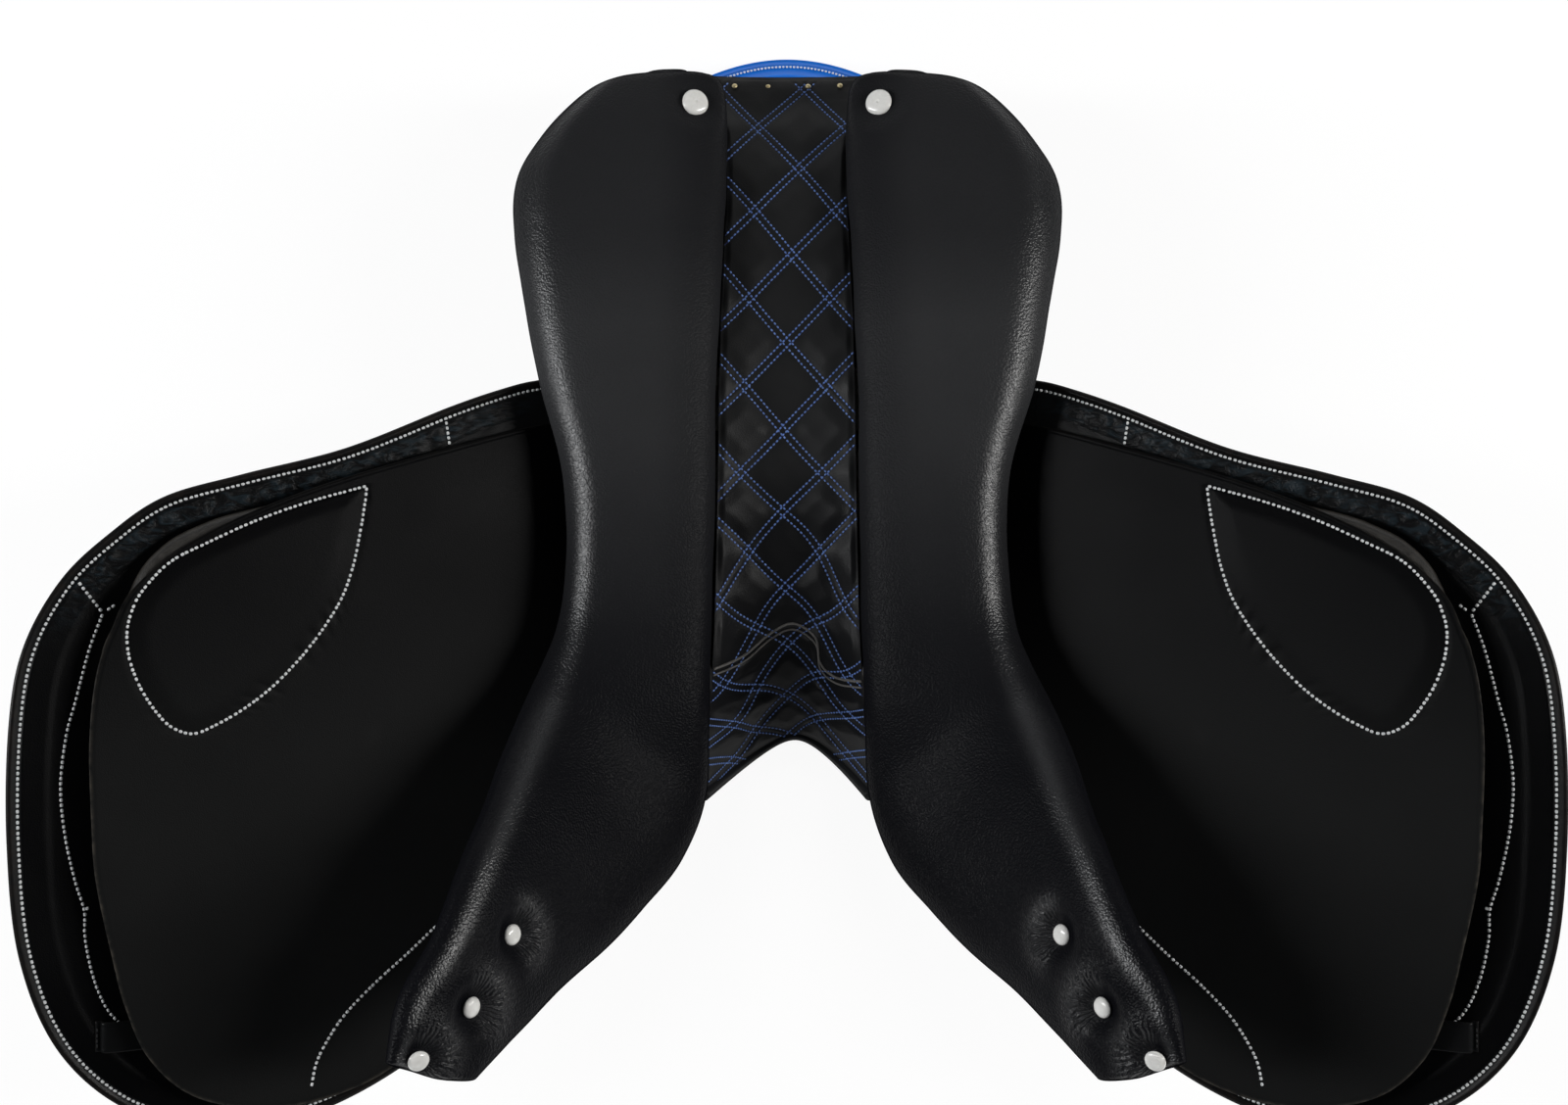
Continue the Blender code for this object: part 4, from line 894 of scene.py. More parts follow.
# %% Lattice of the quilting
LATTICE_REAR = 306.9
LATTICE_PITCH = 30.5
LATTICE_TIGHTENING = 0.24
MIDDLE_AT = [-50, 30, 82, 134, 190, 246, 307]
MIDDLE_X = [0.5, -3, -2, 0, 3.2, 7.6, 11.7]
STEP_AT = [-50, 2, 55, 165, 220, 280]
STEP_X = [21.5, 22.5, 26, 25.5, 26, 28.5]
ROWS_PER_MM = 0.0525
SETTLING_ROUNDS = 10
SLUMP = np.array([
    (0, 12, -0.5, 2.4), (0, 14, 0, 15.1), (0, 16, 0, 27.3), (0, 18, 1, 43.5), (0, 20, 0, 60),
    (-1, 11, 0, 0), (-1, 13, 1.5, 1.6), (-1, 15, 1.2, 9.6), (-1, 17, 1, 26.7), (-1, 19, 0, 46),
    (1, 11, 0, 0), (1, 13, -2.5, 5.4), (1, 15, -2.5, 17.8), (1, 17, -2.5, 34.5), (1, 19, 0, 50),
    (-2, 12, 1.5, -5.6), (-2, 14, 2.5, -9.7), (-2, 16, 8, 9.3), (-2, 18, 8, 30), (-2, 20, 0, 50),
    (2, 12, -7, -7.8), (2, 14, -6, -3.7), (2, 16, -5, 16), (2, 18, -4, 34), (2, 20, 0, 50),
    (-3, 13, 0, -8), (-3, 15, 0, -4), (-3, 17, 0, 12), (3, 13, -6, -8), (3, 15, -5, 2), (3, 17, -3, 20),
    (0, 10, 0, 0), (-2, 10, 0, 0), (2, 10, 0, 0), (-3, 11, 0, 0), (3, 11, 0, 0)], float)
SLUMP_REACH = 1.7


def nearness(s, w):
    """How near a place of the quilting is to each place where the slump is known."""
    gaps = (s[..., None] - SLUMP[:, 0]) ** 2 + (w[..., None] - SLUMP[:, 1]) ** 2
    return np.exp(-gaps / SLUMP_REACH ** 2)


SLUMP_SHARES = np.linalg.solve(nearness(SLUMP[:, 0], SLUMP[:, 1]), SLUMP[:, 2:])


def even_lattice(x, y):
    """The quilting's own coordinates before the lining slumps over the pommel."""
    under_root = LATTICE_PITCH ** 2 - 4 * LATTICE_TIGHTENING * (LATTICE_REAR - y)
    row = (LATTICE_PITCH - np.sqrt(np.maximum(under_root, 0))) / (2 * LATTICE_TIGHTENING)
    return (x - np.interp(y, MIDDLE_AT, MIDDLE_X)) / np.interp(y, STEP_AT, STEP_X), row


def lattice(x, y):
    """The quilting's own coordinates at a place in millimetres."""
    x, y = np.broadcast_arrays(np.asarray(x, float), np.asarray(y, float))
    s, w = even_lattice(x, y)
    for _ in range(SETTLING_ROUNDS):
        moved = nearness(s, w) @ SLUMP_SHARES
        s, w = even_lattice(x - moved[..., 0], y - moved[..., 1])
    return s, w


def lattice_place(s, w):
    """The place in millimetres of one point of the quilting's lattice."""
    y = LATTICE_REAR - LATTICE_PITCH * w + LATTICE_TIGHTENING * w * w
    moved = nearness(s, w) @ SLUMP_SHARES
    x = np.interp(y, MIDDLE_AT, MIDDLE_X) + s * np.interp(y, STEP_AT, STEP_X)
    return x + moved[:, 0], y + moved[:, 1]


def to_rows(x, y):
    """Distances in millimetres to the nearest quilting row of either family."""
    s, w = lattice(x, y)
    result = []
    for value in (s - w, s + w):
        off = np.abs((value / 2 - np.round(value / 2)) * 2)
        result.append(off / ROWS_PER_MM)
    return result


print("crossing (0, 12) of the quilting lies at", lattice_place(np.zeros(1), np.full(1, 12.0)))

# %% [markdown]
# Near the pommel the rear piece of the lining laps over the front one, along a wandering fold, and
# the front piece wrinkles below it.  The height of the quilting is a function of the distances to
# the nearest rows and to this fold, so the puffs, the grooves and the stitches always agree.

# %% Relief of the quilting
PUFF = 1.7
PUFF_FROM = 1.5
PUFF_TO = 13
ROW_HALF_SPACING = 2.1
ROW_GROOVE = 0.5
ROW_GROOVE_WIDTH = 0.8
LAP_HEIGHT = 1.3
LAP_GROOVE = 0.8
FRONT_WRINKLES = ((-12.0, 1.1), (-23.0, 0.9), (-34.0, 0.8))
FOLD = [(-50, -75.5), (-45.6, -74.0), (-27.7, -66.6), (-10.5, -52.4), (4.3, -46.2), (18.5, -55.5),
        (21.6, -71.5), (32.1, -80.8), (50, -82.0)]


def fold_distance(x, y):
    """Signed distance in millimetres to the fold where the rear lining laps the pommel's."""
    path = open_curve(FOLD, 0.0015) / MM
    flat = np.stack([np.ravel(x), np.ravel(y)], axis=1)
    gaps = np.linalg.norm(flat[:, None, :] - path[None, :, :], axis=2)
    nearest = gaps.argmin(axis=1)
    ahead = np.gradient(path, axis=0)[nearest]
    away = flat - path[nearest]
    sign = np.sign(ahead[:, 0] * away[:, 1] - ahead[:, 1] * away[:, 0])
    return (gaps.min(axis=1) * sign).reshape(np.shape(x))


def quilted(x, y):
    """How far the quilting stands up, in millimetres."""
    first, second = to_rows(x, y)
    height = PUFF * fade(first, PUFF_FROM, PUFF_TO) * fade(second, PUFF_FROM, PUFF_TO)
    for gap in (first, second):
        height = height - ROW_GROOVE * np.exp(-((gap - ROW_HALF_SPACING) / ROW_GROOVE_WIDTH) ** 2)
    lap = fold_distance(x, y)
    height = height + LAP_HEIGHT * fade(lap, -1.2, 1.2) - LAP_GROOVE * np.exp(-((lap + 2.2) / 1.4) ** 2)
    for shift, strength in FRONT_WRINKLES:
        wave = np.exp(-((lap - shift) / 2.6) ** 2)
        height = height + strength * wave * fade(np.abs(x), 4, 22)
    return height


print("the quilting stands up", round(float(quilted(np.zeros(1), np.full(1, 100.0))[0]), 2), "mm at y = 100")

# %% [markdown]
# The lining runs from the cantle down into the pommel arch and bows between the panels.  It is a
# closed sheet: one grid for its face, one for its back and faces between their edges.  A modifier
# could thicken a plane instead, but here both grids end where the panels' walls are, all the way.

# %% Channel lining
LINING_ROWS = [(-122, 42, 65, 129), (-105, 24, 77, 130), (-84, 8, 92, 132), (-50, 2, 108, 133),
               (0, 0, 119, 134), (60, 0, 124, 134), (120, 0, 124, 131), (180, 0, 119, 122),
               (225, 0, 109, 111), (262, 0, 93, 95), (292, 0, 73, 77), (316, 0, 58.6, 66)]
LINING_CURVE = 2.2
LINING_THICKNESS = 2.5
LINING_SIDE_GAP = 2.2
LINING_ACROSS = 134
LINING_ALONG = 360
LINING_PAINTED_SHADE = 0.55
LINING_PAINTED_SHADE_FADE = (0.015, 0.065)
ARCH_ROUND = 0.12
ARCH_REACH = 1.08
ARCH_SHIFT = 0.11


def arch_bow(u, front):
    """How far a row sweeps back at u: a plain bow, and near the front the arch, off the middle."""
    moved = u - ARCH_SHIFT * (1 - u * u)
    arch = (np.sqrt(moved * moved + ARCH_ROUND) - math.sqrt(ARCH_ROUND)) * ARCH_REACH
    return u * u + (arch - u * u) * front


def panel_wall(y, z):
    """Where the right panel's inner wall is at one Y and height, in millimetres."""
    stations = PANEL_STATIONS[:PANEL_WALL_STATIONS][::-1]
    inner_x, inner_z, outer_x, belly = (np.interp(y, stations[:, 1], stations[:, k]) for k in (0, 2, 3, 7))
    drop = np.clip((inner_z - z) / belly, 0.0, 0.95)
    along = (1 - drop ** (2 / PANEL_BELLY_ROUND)) ** (PANEL_EDGE_ROUND / 2)
    return (inner_x + outer_x) / 2 - along * (outer_x - inner_x) / 2


def lining_grid(top):
    """One face of the lining: rows from the pommel to the cantle, in metres."""
    v = np.linspace(0, 1, LINING_ALONG)
    u = np.linspace(-1, 1, LINING_ACROSS)
    y0, sweep, centre, edge = (curve_through(LINING_ROWS, v)[:, k][:, None] for k in range(4))
    half = panel_wall(y0 - sweep, edge - 1.5) - LINING_SIDE_GAP
    x = half * u[None, :]
    y = y0 - sweep * arch_bow(u[None, :], 1 - fade(y0, -120, -70))
    z = centre + (edge - centre) * np.abs(u[None, :]) ** LINING_CURVE
    if top:
        edges = fade(1 - np.abs(u[None, :]), 0.0, 0.12)
        ends = fade(v[:, None], 0.0, 0.03) * fade(1 - v[:, None], 0.0, 0.015)
        z = z + quilted(x, y) * edges * ends
    else:
        z = z - LINING_THICKNESS
    return np.stack([x, y, z], axis=2) * MM


def sheet_faces(rows, columns):
    """Faces of a closed sheet: a top grid, a bottom grid and the four sides between them."""
    faces = []
    low = rows * columns
    for i in range(rows - 1):
        a, b = i * columns, (i + 1) * columns
        faces += [(a + j, a + j + 1, b + j + 1, b + j) for j in range(columns - 1)]
        faces += [(low + a + j, low + b + j, low + b + j + 1, low + a + j + 1) for j in range(columns - 1)]
        faces.append((a, b, low + b, low + a))
        faces.append((b + columns - 1, a + columns - 1, low + a + columns - 1, low + b + columns - 1))
    last = (rows - 1) * columns
    for j in range(columns - 1):
        faces.append((j + 1, j, low + j, low + j + 1))
        faces.append((last + j, last + j + 1, low + last + j + 1, low + last + j))
    return faces


lining_top = lining_grid(True)
lining_points = np.concatenate([lining_top.reshape(-1, 3), lining_grid(False).reshape(-1, 3)])
# Painted shade: the lining is darkened in its front part, towards the pommel arch, where y is below 15 to 65
# mm.
lining_painted_shade = LINING_PAINTED_SHADE * (1 - fade(lining_points[:, 1], *LINING_PAINTED_SHADE_FADE))
lining = add_piece("quilted_channel", lining_points, sheet_faces(LINING_ALONG, LINING_ACROSS),
                   lining_leather, "root", ["channel_lining"], {"shade": lining_painted_shade})
print("lining:", len(lining_points), "points")

# %% [markdown]
# Stitches are real loops of thread that sink into the leather at both ends.  A dashed line in the
# leather's colour would look flat from the side.  So one small template, a flat bead, is copied
# along each row: the row's path is laid on the surface by dropping points on it, and each bead is
# turned to follow the path.

# %% Beads of thread
BEAD_RINGS = [(-0.5, 0.5), (-0.33, 0.92), (0.0, 1.0), (0.33, 0.92), (0.5, 0.5)]
BEAD_SIDES = 6
BEAD_FLAT = 0.55
DRAW_SEED = 7


def tree_of(made):
    """A tree for dropping points on a piece, in world places."""
    points = [made.matrix_world @ v.co for v in made.data.vertices]
    return BVHTree.FromPolygons(points, [tuple(p.vertices) for p in made.data.polygons])


def dropped(surface, path, from_below=False):
    """A flat path laid on a surface, from above or from below, as points and normals."""
    start, way = (-1.0, 1.0) if from_below else (2.0, -1.0)
    points, normals = [], []
    for x, y in np.asarray(path)[:, :2]:
        hit, normal, _, _ = surface.ray_cast(Vector((x, y, start)), Vector((0, 0, way)))
        if hit is None:
            continue
        if normal.z * way > 0:
            normal = -normal
        points.append(hit)
        normals.append(normal)
    return np.array(points), np.array(normals)


def bead_rows(rows, pitch, share, radius, sink=0.2, jitter=0.0):
    """Points and faces of beads of thread along rows of (points, normals)."""
    points, faces = [], []
    angles = np.linspace(0, 2 * np.pi, BEAD_SIDES, endpoint=False)
    draw = np.random.default_rng(DRAW_SEED)
    for path, normals in rows:
        if len(path) < 2:
            continue
        run = run_along(path)
        count = int(run[-1] / pitch)
        for k in range(count):
            middle = (k + 0.5) * pitch + jitter * pitch * draw.uniform(-1, 1)
            ends = [np.array([np.interp(middle + d, run, path[:, n]) for n in range(3)])
                    for d in (-pitch * share / 2, pitch * share / 2)]
            ahead = ends[1] - ends[0]
            length = np.linalg.norm(ahead)
            if length < 1e-6:
                continue
            ahead /= length
            up = np.array([np.interp(middle, run, normals[:, n]) for n in range(3)])
            up -= ahead * (up @ ahead)
            up /= np.linalg.norm(up)
            across = np.cross(up, ahead)
            across += up * jitter * draw.uniform(-0.3, 0.3)
            base = len(points)
            centre = (ends[0] + ends[1]) / 2 + up * radius * (BEAD_FLAT - sink)
            for place, size in BEAD_RINGS:
                for a in angles:
                    wide = across * math.cos(a) * radius * size
                    tall = up * math.sin(a) * radius * size * BEAD_FLAT
                    points.append(centre + ahead * length * place + (wide + tall))
            rings = len(BEAD_RINGS)
            for i in range(rings - 1):
                for j in range(BEAD_SIDES):
                    m = (j + 1) % BEAD_SIDES
                    faces.append((base + i * BEAD_SIDES + j, base + i * BEAD_SIDES + m,
                                  base + (i + 1) * BEAD_SIDES + m, base + (i + 1) * BEAD_SIDES + j))
            faces.append(tuple(base + j for j in reversed(range(BEAD_SIDES))))
            faces.append(tuple(base + (rings - 1) * BEAD_SIDES + j for j in range(BEAD_SIDES)))
    return points, faces


def ribbons(rows, half_width, lift):
    """A thin closed band of thread along each row of (points, normals)."""
    points, faces = [], []
    for path, normals in rows:
        if len(path) < 3:
            continue
        ahead = np.gradient(path, axis=0)
        ahead /= np.maximum(np.linalg.norm(ahead, axis=1), 1e-9)[:, None]
        across = np.cross(normals, ahead) * half_width
        sides = [path - across - normals * lift, path + across - normals * lift, path + normals * lift * 2]
        base = len(points)
        points += [point for trio in zip(*sides) for point in trio]
        for k in range(len(path) - 1):
            a = base + 3 * k
            faces += [(a + j, a + (j + 1) % 3, a + 3 + (j + 1) % 3, a + 3 + j) for j in range(3)]
        faces += [(base, base + 1, base + 2), (len(points) - 3, len(points) - 2, len(points) - 1)]
    return points, faces


print("one bead of thread has", len(BEAD_RINGS) * BEAD_SIDES, "points")

# %% [markdown]
# The quilting is sewn in double rows.  Each line of the lattice is walked in small steps, moved to
# either side by half the rows' spacing and dropped on the lining.  A thin dark ribbon lies under
# the beads, because a little thread also shows between two stitches.

# %% Quilting thread
QUILT_PITCH = 0.0029
QUILT_SHARE = 0.55
QUILT_THREAD = 0.00058
LATTICE_LINES = range(-20, 24, 2)
LINE_POINTS = np.linspace(-0.6, 20.4, 1050)

lining_tree = tree_of(lining)
quilt_rows = []
for family in (1, -1):
    for start in LATTICE_LINES:
        x, y = lattice_place(start + family * LINE_POINTS, LINE_POINTS)
        away = np.stack([np.gradient(x), np.gradient(y)], axis=1)
        away /= np.linalg.norm(away, axis=1)[:, None]
        for offset in (-ROW_HALF_SPACING, ROW_HALF_SPACING):
            row = np.stack([x - away[:, 1] * offset, y + away[:, 0] * offset], axis=1)
            row = row[(np.abs(row[:, 0]) < 62) & (row[:, 1] > -165) & (row[:, 1] < 311)]
            if len(row) > 4:
                points, normals = dropped(lining_tree, row * MM)
                if len(points) > 4:
                    quilt_rows.append((points, normals))
points, faces = bead_rows(quilt_rows, QUILT_PITCH, QUILT_SHARE, QUILT_THREAD, sink=0.1)
add_piece("quilting_thread", points, faces, blue_thread, "root")
points, faces = ribbons(quilt_rows, 0.00045, 0.00008)
add_piece("quilting_base_thread", points, faces, deep_blue_thread, "root")
print("quilting:", len(quilt_rows), "rows of thread")

# %% [markdown]
# Two thin lines of piping edge the fold, and a welt closes the lining's edge at the arch.  A curve
# with a bevel depth makes a cord at once, but it has to be turned into a mesh later.  Rings round
# the path give the same cord as a mesh from the start.

# %% Piping
PIPING = ((0.0010, 0.0008), (-0.0030, 0.0006))
PIPING_LIFT = 0.4
WELT_RADIUS = 0.0036
WELT_SHIFT = (0.0, 0.0012, -0.0022)


def tube(name, path, radius, finish, sides=12):
    """A round cord along a path in metres, closed at both ends."""
    path = np.asarray(path, float)
    ahead = np.gradient(path, axis=0)
    ahead /= np.maximum(np.linalg.norm(ahead, axis=1), 1e-9)[:, None]
    side = np.cross(ahead, (0.0, 0.12, 1.0))
    side /= np.linalg.norm(side, axis=1)[:, None]
    up = np.cross(side, ahead)
    angles = np.linspace(0, 2 * np.pi, sides, endpoint=False)
    rings = path[:, None, :] + radius * (np.cos(angles)[None, :, None] * side[:, None, :]
                                         + np.sin(angles)[None, :, None] * up[:, None, :])
    return add_piece(name, with_ends(rings), ring_faces(len(path), sides), finish, "root")


fold_path = open_curve(FOLD, 0.001)
for number, (shift, radius) in enumerate(PIPING, 1):
    points, normals = dropped(lining_tree, fold_path + np.array([0.0, shift]))
    # The cords' pale grey is painted highlight along the fold's ridge.
    tube("fold_piping_%d" % number, points + normals * radius * PIPING_LIFT, radius, piping_cord_painted_highlight)
arch_edge = even_steps(lining_top[0], 0.0015)
tube("arch_welt", arch_edge + np.array(WELT_SHIFT), WELT_RADIUS, lining_leather, 20)
print("piping:", len(fold_path), "steps along the fold,", len(arch_edge), "along the arch")

# %% [markdown]
# The flaps are single hides of stiff leather.  An outline that is filled and thickened would give
# them plain edges.  Here each is a closed body whose rings follow its cut edge inwards, so that a
# rolled rim, a sewn groove and a facing strip are heights at a distance from the edge.

# %% Heights and rings of the flaps
SEAT_EDGE = np.array([(-151, 64), (-132, 67), (-113, 70), (-90, 74), (-63, 80), (-31, 86), (0, 92),
                      (40, 106), (75, 120), (108, 136), (138, 148)], float)
SEAT_SIDE_GAP = 0.8
FLAP_THICKNESS = 4.2
SWEAT_THICKNESS = 3.8
FLAP_STEP = 0.0026
EDGE_STITCH = 0.0060


def flap_height(x):
    """Middle of the outer flap above the floor, in metres."""
    run = np.abs(x) - 0.104
    return 0.095 + 0.40 * run + 0.12 * run * run


def sweat_height(x):
    """Middle of the sweat flap above the floor, in metres."""
    run = np.abs(x) - 0.108
    return 0.103 + 0.49 * run + 0.12 * run * run


def clear_of_seat(outline):
    """An outline moved out to the seat's edge, in metres."""
    edge = np.interp(outline[:, 1] / MM, SEAT_EDGE[:, 0], SEAT_EDGE[:, 1]) + SEAT_SIDE_GAP
    result = outline.copy()
    result[:, 0] = np.maximum(result[:, 0], edge * MM)
    return even_steps(result, FLAP_STEP, closed=True)


def inset(outline, distance):
    """An outline moved inwards by a distance, with its corners smoothed."""
    ahead = np.roll(outline, -2, axis=0) - np.roll(outline, 2, axis=0)
    ahead /= np.linalg.norm(ahead, axis=1)[:, None]
    inward = np.stack([-ahead[:, 1], ahead[:, 0]], axis=1)
    ahead_x, ahead_y = np.roll(outline[:, 0], -1), np.roll(outline[:, 1], -1)
    area = 0.5 * np.sum(outline[:, 0] * ahead_y - outline[:, 1] * ahead_x)
    if area < 0:
        inward = -inward
    for _ in range(int(distance / 0.002)):
        inward = (np.roll(inward, 1, axis=0) + inward + np.roll(inward, -1, axis=0)) / 3
    return outline + inward * distance


RIM_STEPS = np.array([0.0, 0.15, 0.5, 1.0, 1.6, 2.3, 3.0, 3.7, 4.3, 4.8, 5.2, 5.6, 6.0, 6.4, 6.8, 7.3,
                      7.9, 8.6, 9.4, 10.3, 11.2, 12.2, 13.2, 14.4, 15.6, 17.0, 18.4, 19.8, 21.4, 23.0,
                      25.0, 28.0]) * MM
INNER_STEPS = 24
INNER_REACH = 0.985


def slab_rings(outline, centre, low, high, edge, upper=None, lower=None, inner_steps=INNER_STEPS):
    """Rings of a closed body between two heights: from the middle of its top, over its edge and back."""
    centre = np.array(centre) * MM
    spokes = centre - outline
    length = np.linalg.norm(spokes, axis=1)
    spokes = spokes / length[:, None]
    flat = [outline + spokes * step for step in RIM_STEPS]
    last = flat[-1]
    flat += [last + (centre - last) * (INNER_REACH * k / inner_steps) for k in range(1, inner_steps)]
    flat = np.array(flat)
    distance = np.full(flat.shape[:2], RIM_STEPS[-1])
    near = len(RIM_STEPS)
    distance[:near] = np.maximum(inside_distance(flat[:near], outline), 0)
    distance[0] = 0.0
    bottom, top = low(flat), high(flat)
    middle, half = (bottom + top) / 2, (top - bottom) / 2
    roundness = np.sqrt(np.clip(1 - (1 - np.minimum(distance, edge) / edge) ** 2, 0, 1)) * half
    fading = fade(distance, 0, 0.001) * MM
    raised = upper(flat, distance) * fading if upper else 0.0
    sunk = lower(flat, distance) * fading if lower else 0.0
    high_grid = np.concatenate([flat, (middle + roundness + raised)[..., None]], axis=2)[::-1]
    low_grid = np.concatenate([flat, (middle - roundness - sunk)[..., None]], axis=2)[1:]
    return np.concatenate([high_grid, low_grid]), np.concatenate([distance[::-1], distance[1:]])


def inside_distance(points, outline):
    """Distance inside a closed outline, negative outside, in metres."""
    flat = points.reshape(-1, 2)
    gaps = np.full(len(flat), 9.0)
    inside = np.zeros(len(flat), bool)
    for a, b in zip(outline, np.roll(outline, -1, axis=0)):
        run = b - a
        t = np.clip(((flat - a) @ run) / (run @ run), 0, 1)
        gaps = np.minimum(gaps, ((flat - a - t[:, None] * run) ** 2).sum(axis=1))
        if run[1]:
            crosses = (a[1] > flat[:, 1]) != (b[1] > flat[:, 1])
            inside ^= crosses & (flat[:, 0] < a[0] + (flat[:, 1] - a[1]) * run[0] / run[1])
    gaps = np.sqrt(gaps)
    return np.where(inside, gaps, -gaps).reshape(points.shape[:-1])


def outer_low(flat):
    """Lower face of the outer flap."""
    return flap_height(flat[..., 0]) - FLAP_THICKNESS / 2 * MM


def outer_high(flat):
    """Upper face of the outer flap."""
    return flap_height(flat[..., 0]) + FLAP_THICKNESS / 2 * MM


def sweat_low(flat):
    """Lower face of the sweat flap."""
    return sweat_height(flat[..., 0]) - SWEAT_THICKNESS / 2 * MM


def sweat_high(flat):
    """Upper face of the sweat flap."""
    return sweat_height(flat[..., 0]) + SWEAT_THICKNESS / 2 * MM


print("the outer flap rises from", flap_height(0.122), "to", flap_height(0.444), "m")

# %% [markdown]
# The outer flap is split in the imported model, and one mesh covers both of its parts here, because
# it bends across its hinge line.  Along its edge runs a facing of thin leather that has wrinkled.
# A bump map alone would leave these wrinkles flat from the side, so the deeper ones are geometry.

# %% Outer flap
OUTER_FLAP = [(180, 103), (210, 91), (269, 64), (325, 47), (366, 33), (394, 11), (418, -16), (436, -54),
              (443, -98), (444, -165), (438, -232), (419, -287), (385, -325), (340, -342), (290, -341),
              (235, -316), (180, -270), (148, -240), (128, -208), (122, -168), (122, -80), (122, 4),
              (113, 50), (124, 82), (141, 110), (160, 109)]
OUTER_FLAP_MIDDLE = (262, -112)
WRINKLE_DEPTH = 0.0012
OUTER_PAINTED_SHADE = 0.8


def outer_upper(flat, distance):
    """The lining side of the outer flap: bead, groove, then a facing strip with wrinkles."""
    bead = 0.7 * np.exp(-((distance - 0.0027) / 0.0016) ** 2)
    groove = -0.7 * np.exp(-((distance - EDGE_STITCH) / 0.0009) ** 2)
    strip = 0.5 * fade(distance, 0.0068, 0.0080) * (1 - fade(distance, 0.0200, 0.0220))
    return bead + groove + strip


def outer_lower(flat, distance):
    """The side that faces the rider's leg: a crease line and a sewn groove near its edge."""
    groove = -0.5 * np.exp(-((distance - EDGE_STITCH) / 0.0009) ** 2)
    crease = -0.3 * np.exp(-((distance - 0.0105) / 0.0005) ** 2)
    return groove + crease


def make_outer_flap(side_name, side):
    """The outer flap, from the seat's edge to its tip."""
    outline = clear_of_seat(closed_curve(OUTER_FLAP, FLAP_STEP))
    grid, gap = slab_rings(outline, OUTER_FLAP_MIDDLE, outer_low, outer_high, FLAP_THICKNESS / 2 * MM,
                           outer_upper, outer_lower)
    wrinkles = np.abs(ripple(grid * np.array([1, 1.6, 0.2]), 110.0, 3.0 + side, 1.0))
    wrinkles = wrinkles + 0.5 * np.abs(ripple(grid, 300.0, 6.0, 1.0))
    upward = np.arange(grid.shape[0])[:, None] < len(grid) // 2
    in_strip = fade(gap, 0.0072, 0.0092) * (1 - fade(gap, 0.0185, 0.0210)) * upward
    visible = fade(grid[..., 0], 0.15, 0.19) * fade(grid[..., 1], -0.06, 0.0)
    grid[..., 2] -= wrinkles * in_strip * visible * WRINKLE_DEPTH
    creased = in_strip * visible
    # Painted shade: the flap's outer part, beyond x = 0.28 to 0.34 m, is darkened, but not at its rim nor on
    # the wrinkled strip.
    painted_shade = OUTER_PAINTED_SHADE * fade(gap, 0.0068, 0.0085) * fade(grid[..., 0], 0.28, 0.34) * (1 - creased)
    masks = {"rim": 1 - fade(gap, 0.0035, 0.0055), "creased": creased, "shade": painted_shade}
    masks = {key: mask_with_ends(values) for key, values in masks.items()}
    made = add_piece(side_name + "_outer_flap_hide", mirrored(with_ends(grid), side),
                     ring_faces(*grid.shape[:2]), flap_leather, None,
                     [side_name + "_flap", side_name + "_flap_top"], masks)
    return made, outline


outer_flaps = {name: make_outer_flap(name, side) for name, side in SIDES}
print("outer flaps:", [len(made.data.vertices) for made, _ in outer_flaps.values()], "points")

# %% [markdown]
# The sweat flap lies next to the horse and is smooth there.  The thigh block swells it a little
# inside the teardrop that holds the block, and its cut edge is a paler raw line.  The same rings
# serve, with another height for the upper face.

# %% Sweat flap
SWEAT_FLAP = [(108, 30), (109, 46), (115, 62), (123, 80), (149, 82), (207, 65), (284, 38), (339, 10),
              (372, -19), (384, -45), (391, -71), (394, -108), (393, -154), (391, -186), (384, -226),
              (377, -259), (365, -291), (342, -316), (306, -328), (268, -325), (232, -308), (185, -266),
              (125, -204), (108, -178), (108, -135), (108, -90), (108, -45), (108, -5), (107.5, 15)]
SWEAT_FLAP_MIDDLE = (250, -110)
SWEAT_PAINTED_SHADE = 0.9
TEAR_SWELL = 0.0012
TEAR_GROOVE = 0.0006


def sweat_upper(flat, distance):
    """The side towards the horse: smooth, with a fine crease along its cut edge."""
    return -0.25 * np.exp(-((distance - 0.0022) / 0.0006) ** 2)


TEARDROP = [(253.5, 40.2), (283.9, 30.3), (311.3, 19.0), (337.5, 5.1), (355.0, -5.6), (368.3, -21.8),
            (373.5, -33.5), (375.8, -45.7), (374.4, -61.4), (368.3, -79.5), (358.3, -96.2),
            (350.6, -102.8), (342.9, -104.9), (334.1, -101.3), (319.8, -92.8), (302.2, -78.0),
            (283.9, -56.0), (268.8, -31.1), (261.4, -10.0), (256.7, 14.8), (254.3, 31.9), (253.5, 40.2)]


